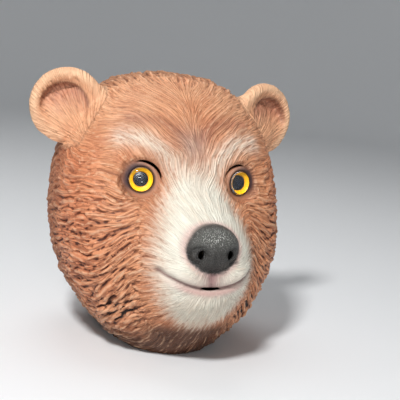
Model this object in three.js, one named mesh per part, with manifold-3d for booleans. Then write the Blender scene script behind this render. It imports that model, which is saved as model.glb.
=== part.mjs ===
// Bear mask: a hollow latex head that is pulled on over the wearer's head, with two plastic eyes.
// Millimetres, +Z up. The face looks towards -Y, and the mask stands on the flat rim of its neck opening.
import * as THREE from "three";
import { mergeVertices } from "three/addons/utils/BufferGeometryUtils.js";
import Module from "manifold-3d";

const wasm = await Module();
wasm.setup();

// Driving dimensions
const WALL = 1.8; // latex skin, between the raised locks
const FIT = 0.3; // gap between pieces that sit in each other
const EYE_HEIGHT = 199; // from the rim of the neck opening up to the eyes
const NOD = 5; // degrees that the face looks up from the head's own sections

// Head sections, from the muzzle's tip to the back of the head. Each is an oval across the head: y is its
// place behind the eyes, halfWidth its reach to each side at the height called widest, and top and bottom
// its highest and lowest points. Heights count from the eyes. crown and jaw are the roundness of the
// section's upper and lower half, where 2 is an ellipse.
const HEAD = table(
  ["y", "halfWidth", "widest", "top", "bottom", "crown", "jaw"],
  [
    [-76, 0, -82, -82, -82, 2.2, 2.1], // muzzle tip
    [-75, 22, -84, -62, -105, 2.2, 2.1], // lip front
    [-70, 38, -88, -47, -122, 2.2, 2.1], // muzzle front
    [-60, 50, -92, -37, -139, 2.2, 2.1], // lips
    [-48, 59, -94, -29, -154, 2.2, 2.0], // muzzle
    [-36, 67, -95, -20, -167, 2.1, 1.9], // muzzle back
    [-22, 79, -94, -8, -180, 2.0, 1.75], // muzzle root
    [-10, 96, -87, 13, -191, 1.9, 1.7], // cheek front
    [2, 110, -77, 41, -200, 2.1, 1.7], // eye line
    [16, 120, -69, 70, -208, 2.3, 1.7], // brow
    [41, 129, -61, 100, -213, 2.6, 1.7], // temple
    [81, 133, -53, 119, -213, 2.7, 1.7], // ear line
    [121, 129, -47, 116, -209, 2.6, 1.7], // crown
    [161, 110, -41, 95, -197, 2.3, 1.8], // back
    [190, 77, -35, 60, -147, 2.1, 2.0], // nape
    [204, 38, -29, 20, -87, 2.0, 2.0], // rear
    [208, 0, -29, -29, -29, 2.0, 2.0], // rear pole
  ],
);

// Swells and hollows of the face, mirrored to both sides. Each fades out from its centre over the
// three reaches, and raise is its height along the skin's own direction.
const SWELLS = table(
  ["x", "y", "z", "reachX", "reachY", "reachZ", "raise"],
  [
    [52, 4, 33, 32, 40, 14, 5], // brow ridge
    [61, -3, 1, 22, 30, 20, -7], // eye socket
    [46, -26, -24, 13, 22, 18, -3], // hollow beside the bridge
    [86, 8, -75, 34, 40, 34, 4], // cheek
    [26, -64, -94, 18, 18, 12, 4], // upper lip
    [0, -64, -128, 26, 20, 12, 5], // chin
  ],
);

// The lining is drawn in behind the eyes, so that the sockets keep their wall.
const LINING_SWELLS = table(
  ["x", "y", "z", "reachX", "reachY", "reachZ", "raise"],
  [
    [52, 4, 33, 32, 40, 14, 4], // brow ridge
    [61, -3, 1, 32, 40, 30, -9], // eye socket
    [46, -26, -24, 20, 24, 22, -3], // hollow beside the bridge
    [86, 8, -75, 34, 40, 34, 4], // cheek
  ],
);

// Cast fur: locks that lie back from the muzzle in staggered rows, raised from the skin. They fade in
// behind the muzzle and outside a bare ring round each eye.
const LOCKS = { height: 2, rings: 4, behind: -20, fade: 30, bareRing: 34 };

// Mesh of the skin
const SKIN_RINGS = 42;
const SKIN_SECTORS = 58;
const LINING_RINGS = 19;
const LINING_SECTORS = 30;

// Nose, an egg set into the muzzle's front, with two nostrils through it
const NOSE = { y: -68, z: -67, halfWidth: 31, halfDepth: 22, halfHeight: 28, sectors: 20, rings: 12 };
const NOSTRIL = { x: 19, z: -72, radius: 4.4, depth: 30 };

// Ears: a rolled rim round a dish. Heights are along the ear's own axis, which looks forwards.
const EAR = { x: 126, y: 80, z: 75, splay: 18, lean: 27, sectors: 20 };
const EAR_PROFILE = table(
  ["radius", "height"],
  [
    [0, -1], // bottom of the dish
    [22, 0], // dish
    [32, 5], // inside of the rim
    [37, 9], // top of the rim
    [42, 5], // outside of the rim
    [43, -2], // edge
    [39, -10], // back edge
    [26, -16], // back
    [0, -18], // middle of the back
  ],
);

// The ear's root, an egg that thickens it where it grows out of the head
const EAR_ROOT = { inward: 27, halfLength: 40, halfWidth: 40, halfDepth: 14, back: 7, sectors: 12, rings: 8 };

// Eyes: a dished iris in a thin raised ring, a pupil sunk in it and a clear dome over both
const EYE = { x: 60.5, y: -1, z: 0, splay: 13.7, radius: 14.5, back: -6.2, ring: 0.9, ringWidth: 0.9, sectors: 20 };
const IRIS = { edge: -0.6, middle: -3.4, hole: 8.1, floor: -5 };
const PUPIL = { radius: 7.8, edge: -3.5, middle: -2.9 };
const DOME = { height: 5.2, edge: 0.4 };
const SOCKET = { wall: 2.2, lip: 0.4 };
const SLIT = { radius: 18.6, width: 2.2, from: 6, to: 104, reach: 14, sectors: 10 };

// Mouth: a groove from corner to corner, cut through in the middle
const MOUTH = { cornerX: 54, cornerZ: -92, middleZ: -109, groove: 1.8, steps: 8 };
const MOUTH_GAP = { halfWidth: 8, halfHeight: 2, depth: 24 };

const DEGREE = Math.PI / 180;

function table(columns, rows) {
  return rows.map((row) => Object.fromEntries(columns.map((name, i) => [name, row[i]])));
}

// A column of the head's table at a fractional row, on a smooth curve through the rows
function headColumn(column, row) {
  const last = HEAD.length - 1;
  const i = Math.min(Math.floor(row), last - 1);
  const f = row - i;
  const at = (j) => HEAD[Math.min(Math.max(j, 0), last)][column];
  const [a, b, c, d] = [at(i - 1), at(i), at(i + 1), at(i + 2)];
  return b + 0.5 * f * (c - a + f * (2 * a - 5 * b + 4 * c - d + f * (3 * (b - c) + d - a)));
}

// Point of the plain head at a row and a turn round the section, from +X over the top
function headPoint(row, turn) {
  const c = Math.cos(turn);
  const s = Math.sin(turn);
  const roundness = headColumn(s > 0 ? "crown" : "jaw", row);
  const widest = headColumn("widest", row);
  const reach = s > 0 ? headColumn("top", row) - widest : widest - headColumn("bottom", row);
  const bend = (v) => Math.sign(v) * Math.abs(v) ** (2 / roundness);
  return new THREE.Vector3(
    headColumn("halfWidth", row) * bend(c),
    headColumn("y", row),
    widest + reach * bend(s),
  );
}

// Outward direction of the plain head
function headDirection(row, turn) {
  const step = 0.02;
  const k = Math.min(Math.max(row, 2 * step), HEAD.length - 1 - 2 * step);
  const along = headPoint(k + step, turn).sub(headPoint(k - step, turn));
  const round = headPoint(k, turn + step).sub(headPoint(k, turn - step));
  return along.cross(round).normalize();
}

// Point of the modelled skin, moved out by lift
function skinPoint(row, turn, swells, lift) {
  const p = headPoint(row, turn);
  let rise = lift;
  for (const s of swells) {
    const far =
      ((Math.abs(p.x) - s.x) / s.reachX) ** 2 +
      ((p.y - s.y) / s.reachY) ** 2 +
      ((p.z - s.z) / s.reachZ) ** 2;
    rise += s.raise * Math.exp(-far);
  }
  return p.addScaledVector(headDirection(row, turn), rise);
}

// Height of the cast fur at a point of ring i and sector j
function lockHeight(p, i, j) {
  const lock = Math.floor(i / LOCKS.rings);
  if ((j + lock) % 2) return 0;
  const taper = Math.sin((Math.PI * ((i % LOCKS.rings) + 0.5)) / LOCKS.rings);
  const eye = Math.hypot(Math.abs(p.x) - EYE.x, p.y - EYE.y, p.z - EYE.z);
  const behind = THREE.MathUtils.smoothstep(p.y, LOCKS.behind, LOCKS.behind + LOCKS.fade);
  const outside = THREE.MathUtils.smoothstep(eye, LOCKS.bareRing, LOCKS.bareRing + LOCKS.fade);
  return LOCKS.height * taper * behind * outside;
}

// Closed solid of the head's skin, with a pole at each end
function headSolid(rings, sectors, swells, inset) {
  const last = HEAD.length - 1;
  const tip = new THREE.Vector3(0, HEAD[0].y + inset, HEAD[0].top);
  const rear = new THREE.Vector3(0, HEAD[last].y - inset, HEAD[last].top);
  const points = [tip, rear];
  for (let i = 1; i < rings; i++)
    for (let j = 0; j < sectors; j++) {
      const row = (last * i) / rings;
      const turn = (2 * Math.PI * (j + 0.5)) / sectors;
      const lift = inset ? -inset : lockHeight(headPoint(row, turn), i, j);
      points.push(skinPoint(row, turn, swells, lift));
    }
  const at = (i, j) => 2 + (i - 1) * sectors + (j % sectors);
  const faces = [];
  for (let j = 0; j < sectors; j++) {
    faces.push(0, at(1, j), at(1, j + 1));
    faces.push(1, at(rings - 1, j + 1), at(rings - 1, j));
    for (let i = 1; i < rings - 1; i++) {
      faces.push(at(i, j), at(i + 1, j), at(i, j + 1));
      faces.push(at(i, j + 1), at(i + 1, j), at(i + 1, j + 1));
    }
  }
  const geometry = new THREE.BufferGeometry().setFromPoints(points);
  geometry.setIndex(faces);
  return solid(geometry);
}

// A three.js geometry as a solid that can be joined and cut
function solid(geometry, matrix = new THREE.Matrix4()) {
  const plain = geometry.clone().applyMatrix4(matrix);
  plain.deleteAttribute("normal");
  plain.deleteAttribute("uv");
  const merged = mergeVertices(plain, 1e-4);
  const index = merged.index.array;
  const kept = [];
  for (let i = 0; i < index.length; i += 3) {
    const [a, b, c] = index.subarray(i, i + 3);
    if (a !== b && b !== c && c !== a) kept.push(a, b, c);
  }
  return new wasm.Manifold(
    new wasm.Mesh({
      numProp: 3,
      vertProperties: merged.attributes.position.array,
      triVerts: new Uint32Array(kept),
    }),
  );
}

function geometryOf(made) {
  const mesh = made.getMesh();
  const geometry = new THREE.BufferGeometry();
  geometry.setAttribute("position", new THREE.BufferAttribute(mesh.vertProperties, 3));
  geometry.setIndex(new THREE.BufferAttribute(mesh.triVerts, 1));
  geometry.computeVertexNormals();
  return geometry;
}

// Solid of revolution about local +Z, from [radius, height] pairs that go from the front to the back
function turned(profile, sectors, matrix) {
  const points = profile.map(([radius, height]) => new THREE.Vector2(radius, height)).reverse();
  return solid(new THREE.LatheGeometry(points, sectors).rotateX(Math.PI / 2), matrix);
}

// The same profile, set in by a wall's thickness. Its two ends stay on the axis.
function setIn(profile, wall) {
  return profile.map(([radius, height], i) => {
    if (i === 0) return [0, height - wall];
    if (i === profile.length - 1) return [0, height + wall];
    const [r0, h0] = profile[i - 1];
    const [r1, h1] = profile[i + 1];
    const along = new THREE.Vector2(r1 - r0, h1 - h0).normalize();
    return [radius + wall * along.y, height - wall * along.x];
  });
}

// Frame of a piece on the face: local +Z looks out of it, turned to its own side by splay degrees, and
// local +X points away from the middle of the face, raised by lean degrees
function faceFrame({ x, y, z, splay, lean = 0 }, side) {
  const out = new THREE.Vector3(side * Math.sin(splay * DEGREE), -Math.cos(splay * DEGREE), 0);
  const across = new THREE.Vector3(side * Math.cos(splay * DEGREE), Math.sin(splay * DEGREE), 0);
  const tip = across.multiplyScalar(Math.cos(lean * DEGREE));
  tip.z = Math.sin(lean * DEGREE);
  return new THREE.Matrix4().makeBasis(tip, out.clone().cross(tip), out).setPosition(side * x, y, z);
}

function noseSolid(inset) {
  const size = [NOSE.halfWidth, NOSE.halfDepth, NOSE.halfHeight].map((v) => v - inset);
  const place = new THREE.Matrix4().makeScale(...size).setPosition(0, NOSE.y, NOSE.z);
  return solid(new THREE.SphereGeometry(1, NOSE.sectors, NOSE.rings), place);
}

function nostrilCut(side) {
  const cutter = new THREE.CylinderGeometry(NOSTRIL.radius, NOSTRIL.radius, NOSTRIL.depth, 14);
  return solid(cutter.translate(side * NOSTRIL.x, NOSE.y - NOSE.halfDepth + 0.3 * NOSTRIL.depth, NOSTRIL.z));
}

function earSolid(side, inset) {
  const frame = faceFrame(EAR, side);
  const profile = EAR_PROFILE.map(({ radius, height }) => [radius, height]);
  const size = [EAR_ROOT.halfLength, EAR_ROOT.halfWidth, EAR_ROOT.halfDepth].map((v) => v - inset);
  const root = new THREE.SphereGeometry(1, EAR_ROOT.sectors, EAR_ROOT.rings).scale(...size);
  root.translate(-EAR_ROOT.inward, 0, -EAR_ROOT.back);
  return turned(inset ? setIn(profile, inset) : profile, EAR.sectors, frame).add(solid(root, frame));
}

const eyeFrame = (side) => faceFrame(EYE, side);

// The cup that holds an eye, and the pocket in it
function socketSolid(side) {
  const radius = EYE.radius + FIT + SOCKET.wall;
  const back = EYE.back - FIT - SOCKET.wall;
  const profile = [[0, SOCKET.lip], [radius - 1, SOCKET.lip], [radius, SOCKET.lip - 1], [radius, back], [0, back]];
  return turned(profile, EYE.sectors, eyeFrame(side));
}

function pocketCut(side) {
  const radius = EYE.radius + FIT;
  const back = EYE.back - FIT;
  return turned([[0, 30], [radius, 30], [radius, back], [0, back]], EYE.sectors, eyeFrame(side));
}

// Slit to see through, curved over the eye from its inner side
function slitCut(side) {
  const shape = new THREE.Shape();
  const from = (180 - SLIT.from) * DEGREE;
  const to = (180 - SLIT.to) * DEGREE;
  shape.absarc(0, 0, SLIT.radius + SLIT.width, to, from, false);
  shape.absarc(0, 0, SLIT.radius, from, to, true);
  const options = { depth: 2 * SLIT.reach, bevelEnabled: false, curveSegments: SLIT.sectors };
  const cutter = new THREE.ExtrudeGeometry(shape, options).translate(0, 0, -SLIT.reach);
  if (side > 0) return solid(cutter, eyeFrame(side));
  return solid(cutter.rotateX(Math.PI), eyeFrame(side));
}

// How far back the plain head's front skin lies at a place seen from the front
function frontDepth(x, z) {
  const beside = (row) => {
    const widest = headColumn("widest", row);
    const above = z > widest;
    const reach = above ? headColumn("top", row) - widest : widest - headColumn("bottom", row);
    const roundness = headColumn(above ? "crown" : "jaw", row);
    const across = Math.abs(x) / headColumn("halfWidth", row);
    return across ** roundness + (Math.abs(z - widest) / reach) ** roundness > 1;
  };
  let row = 0.1;
  while (beside(row)) row += 0.02;
  return headColumn("y", row);
}

// Mouth line, curved up to its corners, and the gap in its middle
function mouthCut() {
  const places = [];
  for (let i = -MOUTH.steps; i <= MOUTH.steps; i++) {
    const t = i / MOUTH.steps;
    const x = MOUTH.cornerX * t;
    const z = MOUTH.middleZ + (MOUTH.cornerZ - MOUTH.middleZ) * t * t;
    places.push(new THREE.Vector3(x, frontDepth(x, z) - MOUTH.groove, z));
  }
  const round = new THREE.Shape().absarc(0, 0, MOUTH.groove, 0, 2 * Math.PI, false);
  const extrudePath = new THREE.CatmullRomCurve3(places);
  const groove = new THREE.ExtrudeGeometry(round, { extrudePath, steps: 24, bevelEnabled: false, curveSegments: 4 });
  const gap = new THREE.BoxGeometry(2 * MOUTH_GAP.halfWidth, MOUTH_GAP.depth, 2 * MOUTH_GAP.halfHeight);
  gap.translate(0, frontDepth(0, MOUTH.middleZ), MOUTH.middleZ);
  return solid(groove).add(solid(gap));
}

function skinSolid() {
  let skin = headSolid(SKIN_RINGS, SKIN_SECTORS, SWELLS, 0).add(noseSolid(0));
  let hollow = headSolid(LINING_RINGS, LINING_SECTORS, LINING_SWELLS, WALL).add(noseSolid(WALL));
  for (const side of [-1, 1]) {
    skin = skin.add(earSolid(side, 0));
    hollow = hollow.add(earSolid(side, WALL));
  }
  skin = skin.subtract(hollow).subtract(mouthCut());
  for (const side of [-1, 1]) {
    skin = skin.add(socketSolid(side)).subtract(pocketCut(side));
    skin = skin.subtract(slitCut(side)).subtract(nostrilCut(side));
  }
  return skin;
}

const mask = new THREE.Group();

function addPiece(name, made, color, roughness) {
  const material = new THREE.MeshStandardMaterial({ color, roughness, metalness: 0 });
  const mesh = new THREE.Mesh(geometryOf(made), material);
  mesh.name = name;
  mask.add(mesh);
}

// The face nods about the line through its eyes, and the neck is trimmed level at the rim
const nod = new THREE.Matrix4().makeRotationX(-NOD * DEGREE).setPosition(0, 0, EYE_HEIGHT);
const placed = (made) => made.transform(nod.elements);
const underside = solid(new THREE.BoxGeometry(1000, 1000, 400).translate(0, 0, -200));

addPiece("head_skin", placed(skinSolid()).subtract(underside), 0xc98d68, 0.6);

for (const side of [-1, 1]) {
  const name = side < 0 ? "right" : "left";
  const frame = eyeFrame(side);
  const bore = EYE.radius - EYE.ringWidth;
  const iris = [
    [0, IRIS.floor],
    [IRIS.hole, IRIS.floor],
    [IRIS.hole, IRIS.middle],
    [bore, IRIS.edge],
    [bore, EYE.ring],
    [EYE.radius, EYE.ring],
    [EYE.radius, EYE.back],
    [0, EYE.back],
  ];
  const pupilEdge = PUPIL.radius;
  const pupil = [
    [0, PUPIL.middle],
    [0.6 * pupilEdge, 0.6 * PUPIL.middle + 0.4 * PUPIL.edge],
    [pupilEdge, PUPIL.edge],
    [pupilEdge, IRIS.floor + FIT],
    [0, IRIS.floor + FIT],
  ];
  const domeEdge = bore - FIT;
  const domePoints = [0, 18, 36, 54, 72, 90].map((turn) => [
    domeEdge * Math.sin(turn * DEGREE),
    DOME.edge + (DOME.height - DOME.edge) * Math.cos(turn * DEGREE),
  ]);
  const dome = [...domePoints, [domeEdge, IRIS.edge + FIT], [IRIS.hole, IRIS.middle + FIT], [0, PUPIL.middle + FIT]];
  addPiece(`${name}_eye_iris`, placed(turned(iris, EYE.sectors, frame)), 0xe8b410, 0.35);
  addPiece(`${name}_eye_pupil`, placed(turned(pupil, EYE.sectors, frame)), 0x0c0c0c, 0.2);
  addPiece(`${name}_eye_dome`, placed(turned(dome, EYE.sectors, frame)), 0xf2f2ee, 0.05);
}

// The origin is the middle of the bounding box's bottom
const box = new THREE.Box3().setFromObject(mask);
const middle = box.getCenter(new THREE.Vector3());
for (const piece of mask.children) piece.geometry.translate(-middle.x, -middle.y, -box.min.z);

export default mask;
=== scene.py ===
# %% [markdown]
# # A cast latex bear mask
# The mask is one hollow latex skin, pulled on over the head, with two plastic eyes set in it. The skin was
# poured into a mould, so its fur is relief and not hair, and its colours were sprayed and brushed on by
# hand. This lesson builds the skin from the same tables as the solid part, lays cast locks over it with
# Geometry Nodes, paints it in soft layers and turns the eyes on a lathe.

# %% Load the frame
import math

import bpy
import numpy as np
from mathutils import Matrix, Vector


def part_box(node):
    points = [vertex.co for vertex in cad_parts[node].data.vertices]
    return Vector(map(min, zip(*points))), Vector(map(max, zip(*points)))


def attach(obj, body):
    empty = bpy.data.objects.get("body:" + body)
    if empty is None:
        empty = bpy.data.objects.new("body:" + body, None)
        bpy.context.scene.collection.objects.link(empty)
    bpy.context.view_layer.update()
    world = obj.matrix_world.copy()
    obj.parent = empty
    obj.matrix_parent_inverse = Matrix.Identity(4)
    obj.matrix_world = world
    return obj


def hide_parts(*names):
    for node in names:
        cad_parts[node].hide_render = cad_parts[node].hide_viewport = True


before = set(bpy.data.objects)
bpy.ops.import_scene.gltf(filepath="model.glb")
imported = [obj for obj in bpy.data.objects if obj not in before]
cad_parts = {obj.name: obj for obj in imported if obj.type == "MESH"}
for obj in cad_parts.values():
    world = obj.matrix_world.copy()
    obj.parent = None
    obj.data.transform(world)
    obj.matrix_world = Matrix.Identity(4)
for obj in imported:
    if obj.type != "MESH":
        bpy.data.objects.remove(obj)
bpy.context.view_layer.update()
MM = 0.001

# %% [markdown]
# ## The head's sections
# A head can be drawn as a row of ovals across it, from the tip of the muzzle to the back of the skull. A
# sculptor would push clay about until these ovals look right. A table of them does the same job and can be
# read and changed line by line, so the form comes from a table here. Each row gives an oval's place, width,
# height and roundness in millimetres from the point between the eyes, and a smooth curve joins the rows.

# %% Table of the head's sections
# y, half width, height where it is widest, top, bottom, roundness of the crown, roundness of the jaw
HEAD = np.array([
    (-76, 0, -82, -82, -82, 2.2, 2.1),
    (-75, 22, -84, -62, -105, 2.2, 2.1),
    (-70, 38, -88, -47, -122, 2.2, 2.1),
    (-60, 50, -92, -37, -139, 2.2, 2.1),
    (-48, 59, -94, -29, -154, 2.2, 2.0),
    (-36, 67, -95, -20, -167, 2.1, 1.9),
    (-22, 79, -94, -8, -180, 2.0, 1.75),
    (-10, 96, -87, 13, -191, 1.9, 1.7),
    (2, 110, -77, 41, -200, 2.1, 1.7),
    (16, 120, -69, 70, -208, 2.3, 1.7),
    (41, 129, -61, 100, -213, 2.6, 1.7),
    (81, 133, -53, 119, -213, 2.7, 1.7),
    (121, 129, -47, 116, -209, 2.6, 1.7),
    (161, 110, -41, 95, -197, 2.3, 1.8),
    (190, 77, -35, 60, -147, 2.1, 2.0),
    (204, 38, -29, 20, -87, 2.0, 2.0),
    (208, 0, -29, -29, -29, 2.0, 2.0),
])
# Swells and hollows, mirrored to both sides: place x, y, z, reach x, y, z, and height along the skin
SWELLS = [
    (52, 4, 33, 32, 40, 14, 5),
    (61, -3, 1, 22, 30, 20, -7),
    (46, -26, -24, 13, 22, 18, -3),
    (86, 8, -75, 34, 40, 34, 4),
    (26, -64, -94, 18, 18, 12, 4),
    (0, -64, -128, 26, 20, 12, 5),
]
LINING_SWELLS = [
    (52, 4, 33, 32, 40, 14, 3),
    (61, -3, -2, 34, 44, 36, -15),
    (46, -26, -24, 20, 24, 22, -3),
    (86, 8, -75, 34, 40, 34, 4),
]
WALL = 1.8
print("head sections:", len(HEAD), "swells:", len(SWELLS))

# %% Points on the head
def curve(table, place):
    """Points on a smooth curve through a table's rows, at places counted in rows."""
    last = len(table) - 1
    i = np.minimum(np.floor(place).astype(int), last - 1)
    f = (place - i)[..., None]
    a, b, c, d = (table[np.clip(i + k, 0, last)] for k in (-1, 0, 1, 2))
    return b + 0.5 * f * (c - a + f * (2 * a - 5 * b + 4 * c - d + f * (3 * (b - c) + d - a)))


def head_point(row, turn):
    y, half_width, widest, top, bottom, crown, jaw = np.moveaxis(curve(HEAD, row), -1, 0)
    c, s = np.cos(turn), np.sin(turn)
    power = 2 / np.where(s > 0, crown, jaw)
    reach = np.where(s > 0, top - widest, widest - bottom)
    x = half_width * np.sign(c) * np.abs(c) ** power
    z = widest + reach * np.sign(s) * np.abs(s) ** power
    return np.stack([x, y, z], -1)


def head_direction(row, turn):
    step = 0.02
    k = np.clip(row, 2 * step, len(HEAD) - 1 - 2 * step)
    along = head_point(k + step, turn) - head_point(k - step, turn)
    around = head_point(k, turn + step) - head_point(k, turn - step)
    out = np.cross(along, around)
    return out / np.linalg.norm(out, axis=-1, keepdims=True)


def blob(points, place, reach):
    """One at a place on either side of the face, fading out within its reach along x, y and z."""
    x, y, z = np.moveaxis(points, -1, 0)
    a, b, c = ((v - p) / r for v, p, r in zip((np.abs(x), y, z), place, reach))
    return np.exp(-(a ** 2 + b ** 2 + c ** 2))


def swell(points, table):
    return sum(row[6] * blob(points, row[:3], row[3:6]) for row in table)


print("a point on the brow:", head_point(np.array([8.0]), np.array([1.0])).round(1).tolist())


# %% Helpers that turn points into meshes
def mesh_piece(name, points, faces):
    mesh = bpy.data.meshes.new(name)
    mesh.from_pydata((np.asarray(points) * MM).tolist(), [], faces)
    mesh.update()
    piece = bpy.data.objects.new(name, mesh)
    bpy.context.collection.objects.link(piece)
    return piece


def ring_faces(rings, sectors):
    """Faces of a skin of rings with a pole at each end: the poles are points 0 and 1."""
    at = lambda i, j: 2 + (i - 1) * sectors + j % sectors
    faces = []
    for j in range(sectors):
        faces.append((0, at(1, j), at(1, j + 1)))
        faces.append((1, at(rings - 1, j + 1), at(rings - 1, j)))
        for i in range(1, rings - 1):
            faces.append((at(i, j), at(i + 1, j), at(i + 1, j + 1), at(i, j + 1)))
    return faces


def head_loft(name, rings, sectors, table, inset):
    last = len(HEAD) - 1
    row = np.repeat(last * np.arange(1, rings) / rings, sectors)
    turn = np.tile(2 * np.pi * (np.arange(sectors) + 0.5) / sectors, rings - 1)
    points = head_point(row, turn)
    points = points + head_direction(row, turn) * (swell(points, table) - inset)[:, None]
    tip = (0, HEAD[0, 0] + inset, HEAD[0, 3])
    rear = (0, HEAD[last, 0] - inset, HEAD[last, 3])
    return mesh_piece(name, np.vstack([tip, rear, points]), ring_faces(rings, sectors))


def shade_smooth(piece):
    piece.data.polygons.foreach_set("use_smooth", np.ones(len(piece.data.polygons), bool))


def remove(piece):
    mesh = piece.data
    bpy.data.objects.remove(piece)
    bpy.data.meshes.remove(mesh)


head = head_loft("rough_head", 240, 360, SWELLS, 0)
print("rough head:", len(head.data.vertices), "points")

# %% [markdown]
# ## Ears and nose
# The ears are thick lobes with a rolled rim on their outer side and a shallow dish inside. Toward the head
# the rim fades into a furry mound. A turned profile gives the lobe, and the rim is then lowered on the side
# of the head. The nose is an egg, broad above and narrow below. Both overlap the head, so that one remesh
# can weld them into a single skin.

# %% Frames on the face
def face_frame(x, y, z, splay=0, lean=0, side=1):
    """Columns: away from the middle of the face, its cross direction, out of the face, and the place."""
    a, b = math.radians(splay), math.radians(lean)
    out = np.array([side * math.sin(a), -math.cos(a), 0])
    tip = np.array([side * math.cos(a) * math.cos(b), math.sin(a) * math.cos(b), math.sin(b)])
    return np.stack([tip, np.cross(out, tip), out, [side * x, y, z]], 1)


def placed(points, at):
    return points @ at[:, :3].T + at[:, 3]


print("a frame that looks ahead:", face_frame(0, 0, 0)[:, 2].tolist())


# %% Turned shapes
def turned(name, profile, sectors, at, shape=None):
    """Solid of revolution from (radius, height) pairs, front to back, whose two ends lie on the axis."""
    profile = np.asarray(profile, float)
    turn = 2 * np.pi * np.arange(sectors) / sectors
    radius, height = profile[1:-1].T
    points = np.stack([
        np.outer(radius, np.cos(turn)).ravel(),
        np.outer(radius, np.sin(turn)).ravel(),
        np.repeat(height, sectors),
    ], 1)
    points = np.vstack([(0, 0, profile[0, 1]), (0, 0, profile[-1, 1]), points])
    if shape:
        points = shape(points)
    return mesh_piece(name, placed(points, at), ring_faces(len(profile) - 1, sectors))


def egg(name, half, centre, at, sectors=48, rings=32, shape=None):
    turn = np.pi * np.arange(rings + 1) / rings
    profile = np.stack([np.sin(turn), np.cos(turn)], 1)
    sized = lambda p: (shape(p) if shape else p) * np.array(half) + np.array(centre)
    return turned(name, profile, sectors, at, sized)


def fine(profile, count):
    """The same profile with more points, on a smooth curve through it."""
    made = curve(np.asarray(profile, float), np.linspace(0, len(profile) - 1, count))
    made[0, 0] = made[-1, 0] = 0
    made[:, 0] = np.maximum(made[:, 0], 0)
    return made


print("fine arc:", fine([(0, 1), (1, 0), (0, -1)], 5).round(2).tolist())

# %% Ears
EAR = dict(x=126, y=80, z=75, splay=18, lean=27)
EAR_PROFILE = [(0, 2), (20, 2.5), (29, 5), (36, 8.5), (41.5, 5), (43, -2), (39, -10), (26, -16), (0, -18)]
EAR_CORE = [(0, -9), (24, -9), (33, -8), (38, -5.5), (40.5, -3.5), (41, -5), (37, -9), (26, -13.5), (0, -15)]
EAR_ROOT = dict(half=(40, 40, 14), centre=(-27, 0, -7))
EAR_RIM = dict(middle=40, full=60, faded=135, low=0.3)
EAR_DISH = dict(u=2, w=-3, edge=29, slope=4.5, depth=7.5)
EAR_MOUND = dict(u=-8, w=-14, reach=20, height=7.5)


def ease(low, high, value):
    """Rises smoothly from zero at the first value to one at the second."""
    t = np.clip((value - low) / (high - low), 0, 1)
    return t * t * (3 - 2 * t)


def degrees_from(middle, u, w):
    """How far round the ear a point lies from a direction."""
    return np.abs((np.degrees(np.arctan2(w, u)) - middle + 180) % 360 - 180)


def from_dish(u, w):
    return np.hypot(u - EAR_DISH["u"], w - EAR_DISH["w"])


def ear_hollow(u, w):
    """Deep under the outer and upper rim, and shallower toward the mound."""
    edge = ease(EAR_DISH["edge"], EAR_DISH["edge"] - EAR_DISH["slope"], from_dish(u, w))
    return edge * ease(-16, 16, 0.45 * u + 0.9 * w)


def ear_shape(side):
    def shape(points):
        u, w, h = points[:, 0], side * points[:, 1], points[:, 2].copy()
        fade = ease(EAR_RIM["full"], EAR_RIM["faded"], degrees_from(EAR_RIM["middle"], u, w))
        keep = 1 - (1 - EAR_RIM["low"]) * fade
        front = points[:, 2] > -3
        h[front] = np.where(h > 0, h * keep, h)[front]
        mound = np.exp(-((u - EAR_MOUND["u"]) ** 2 + (w - EAR_MOUND["w"]) ** 2) / EAR_MOUND["reach"] ** 2)
        inner = front * ease(37, 30, np.hypot(u, w))
        h += inner * (EAR_MOUND["height"] * mound - EAR_DISH["depth"] * ear_hollow(u, w))
        return np.stack([points[:, 0], points[:, 1], h], 1)
    return shape


def at_ears(points):
    """For each ear its frame, its side, and how far points lie along it, up it and out of it."""
    for side in (-1, 1):
        at = face_frame(side=side, **EAR)
        u, w, h = ((points - at[:, 3]) @ at[:, :3]).T
        yield at, side, u, side * w, h


lobes = []
for side in (-1, 1):
    at = face_frame(side=side, **EAR)
    lobes.append(turned("rough_ear", fine(EAR_PROFILE, 60), 120, at, ear_shape(side)))
    lobes.append(egg("rough_ear_root", EAR_ROOT["half"], EAR_ROOT["centre"], at))
print("ear lobes:", len(lobes))

# %% Nose
NOSE = dict(half=np.array([31, 28, 22]), low=25.5, narrow=0.11, centre=np.array([0, -68, -67]))
UPRIGHT = face_frame(*NOSE["centre"])


def nose_shape(points):
    below = np.clip(-points[:, 1], 0, 1)
    above = np.clip(points[:, 1], 0, 1)
    shaped = points.copy()
    shaped[:, 0] *= 1 - NOSE["narrow"] * below ** 1.5 + 0.04 * np.sin(np.pi * above)
    shaped[:, 1] *= np.where(points[:, 1] < 0, NOSE["low"] / NOSE["half"][1], 1)
    shaped[:, 2] *= 1 + 0.05 * above - 0.06 * below
    return shaped


def from_nose(points):
    """How far a point lies from the middle of the nose, one at the nose's edge."""
    up = points[:, 2] - NOSE["centre"][2]
    below = np.clip(-up / NOSE["low"], 0, 1)
    width = NOSE["half"][0] * (1 - NOSE["narrow"] * below ** 1.5)
    return np.hypot(points[:, 0] / width, up / np.where(up < 0, NOSE["low"], NOSE["half"][1]))


nose = egg("rough_nose", NOSE["half"], (0, 0, 0), UPRIGHT, 96, 64, nose_shape)
print("nose:", len(nose.data.vertices), "points")

# %% [markdown]
# ## One skin
# In the mould the head, ears and nose are one surface. A voxel remesh welds the overlapping forms into one
# even skin, and a short smoothing softens the joins as a sculptor's thumb would. A Boolean union would keep
# hard creases there, which is why the remesh was chosen.

# %% Weld the forms
VOXEL = 1.1


def settle(piece):
    """Turns the piece's modifiers into plain mesh."""
    graph = bpy.context.evaluated_depsgraph_get()
    made = bpy.data.meshes.new_from_object(
        piece.evaluated_get(graph), preserve_all_data_layers=True, depsgraph=graph)
    old = piece.data
    piece.modifiers.clear()
    piece.data = made
    bpy.data.meshes.remove(old)


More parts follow.
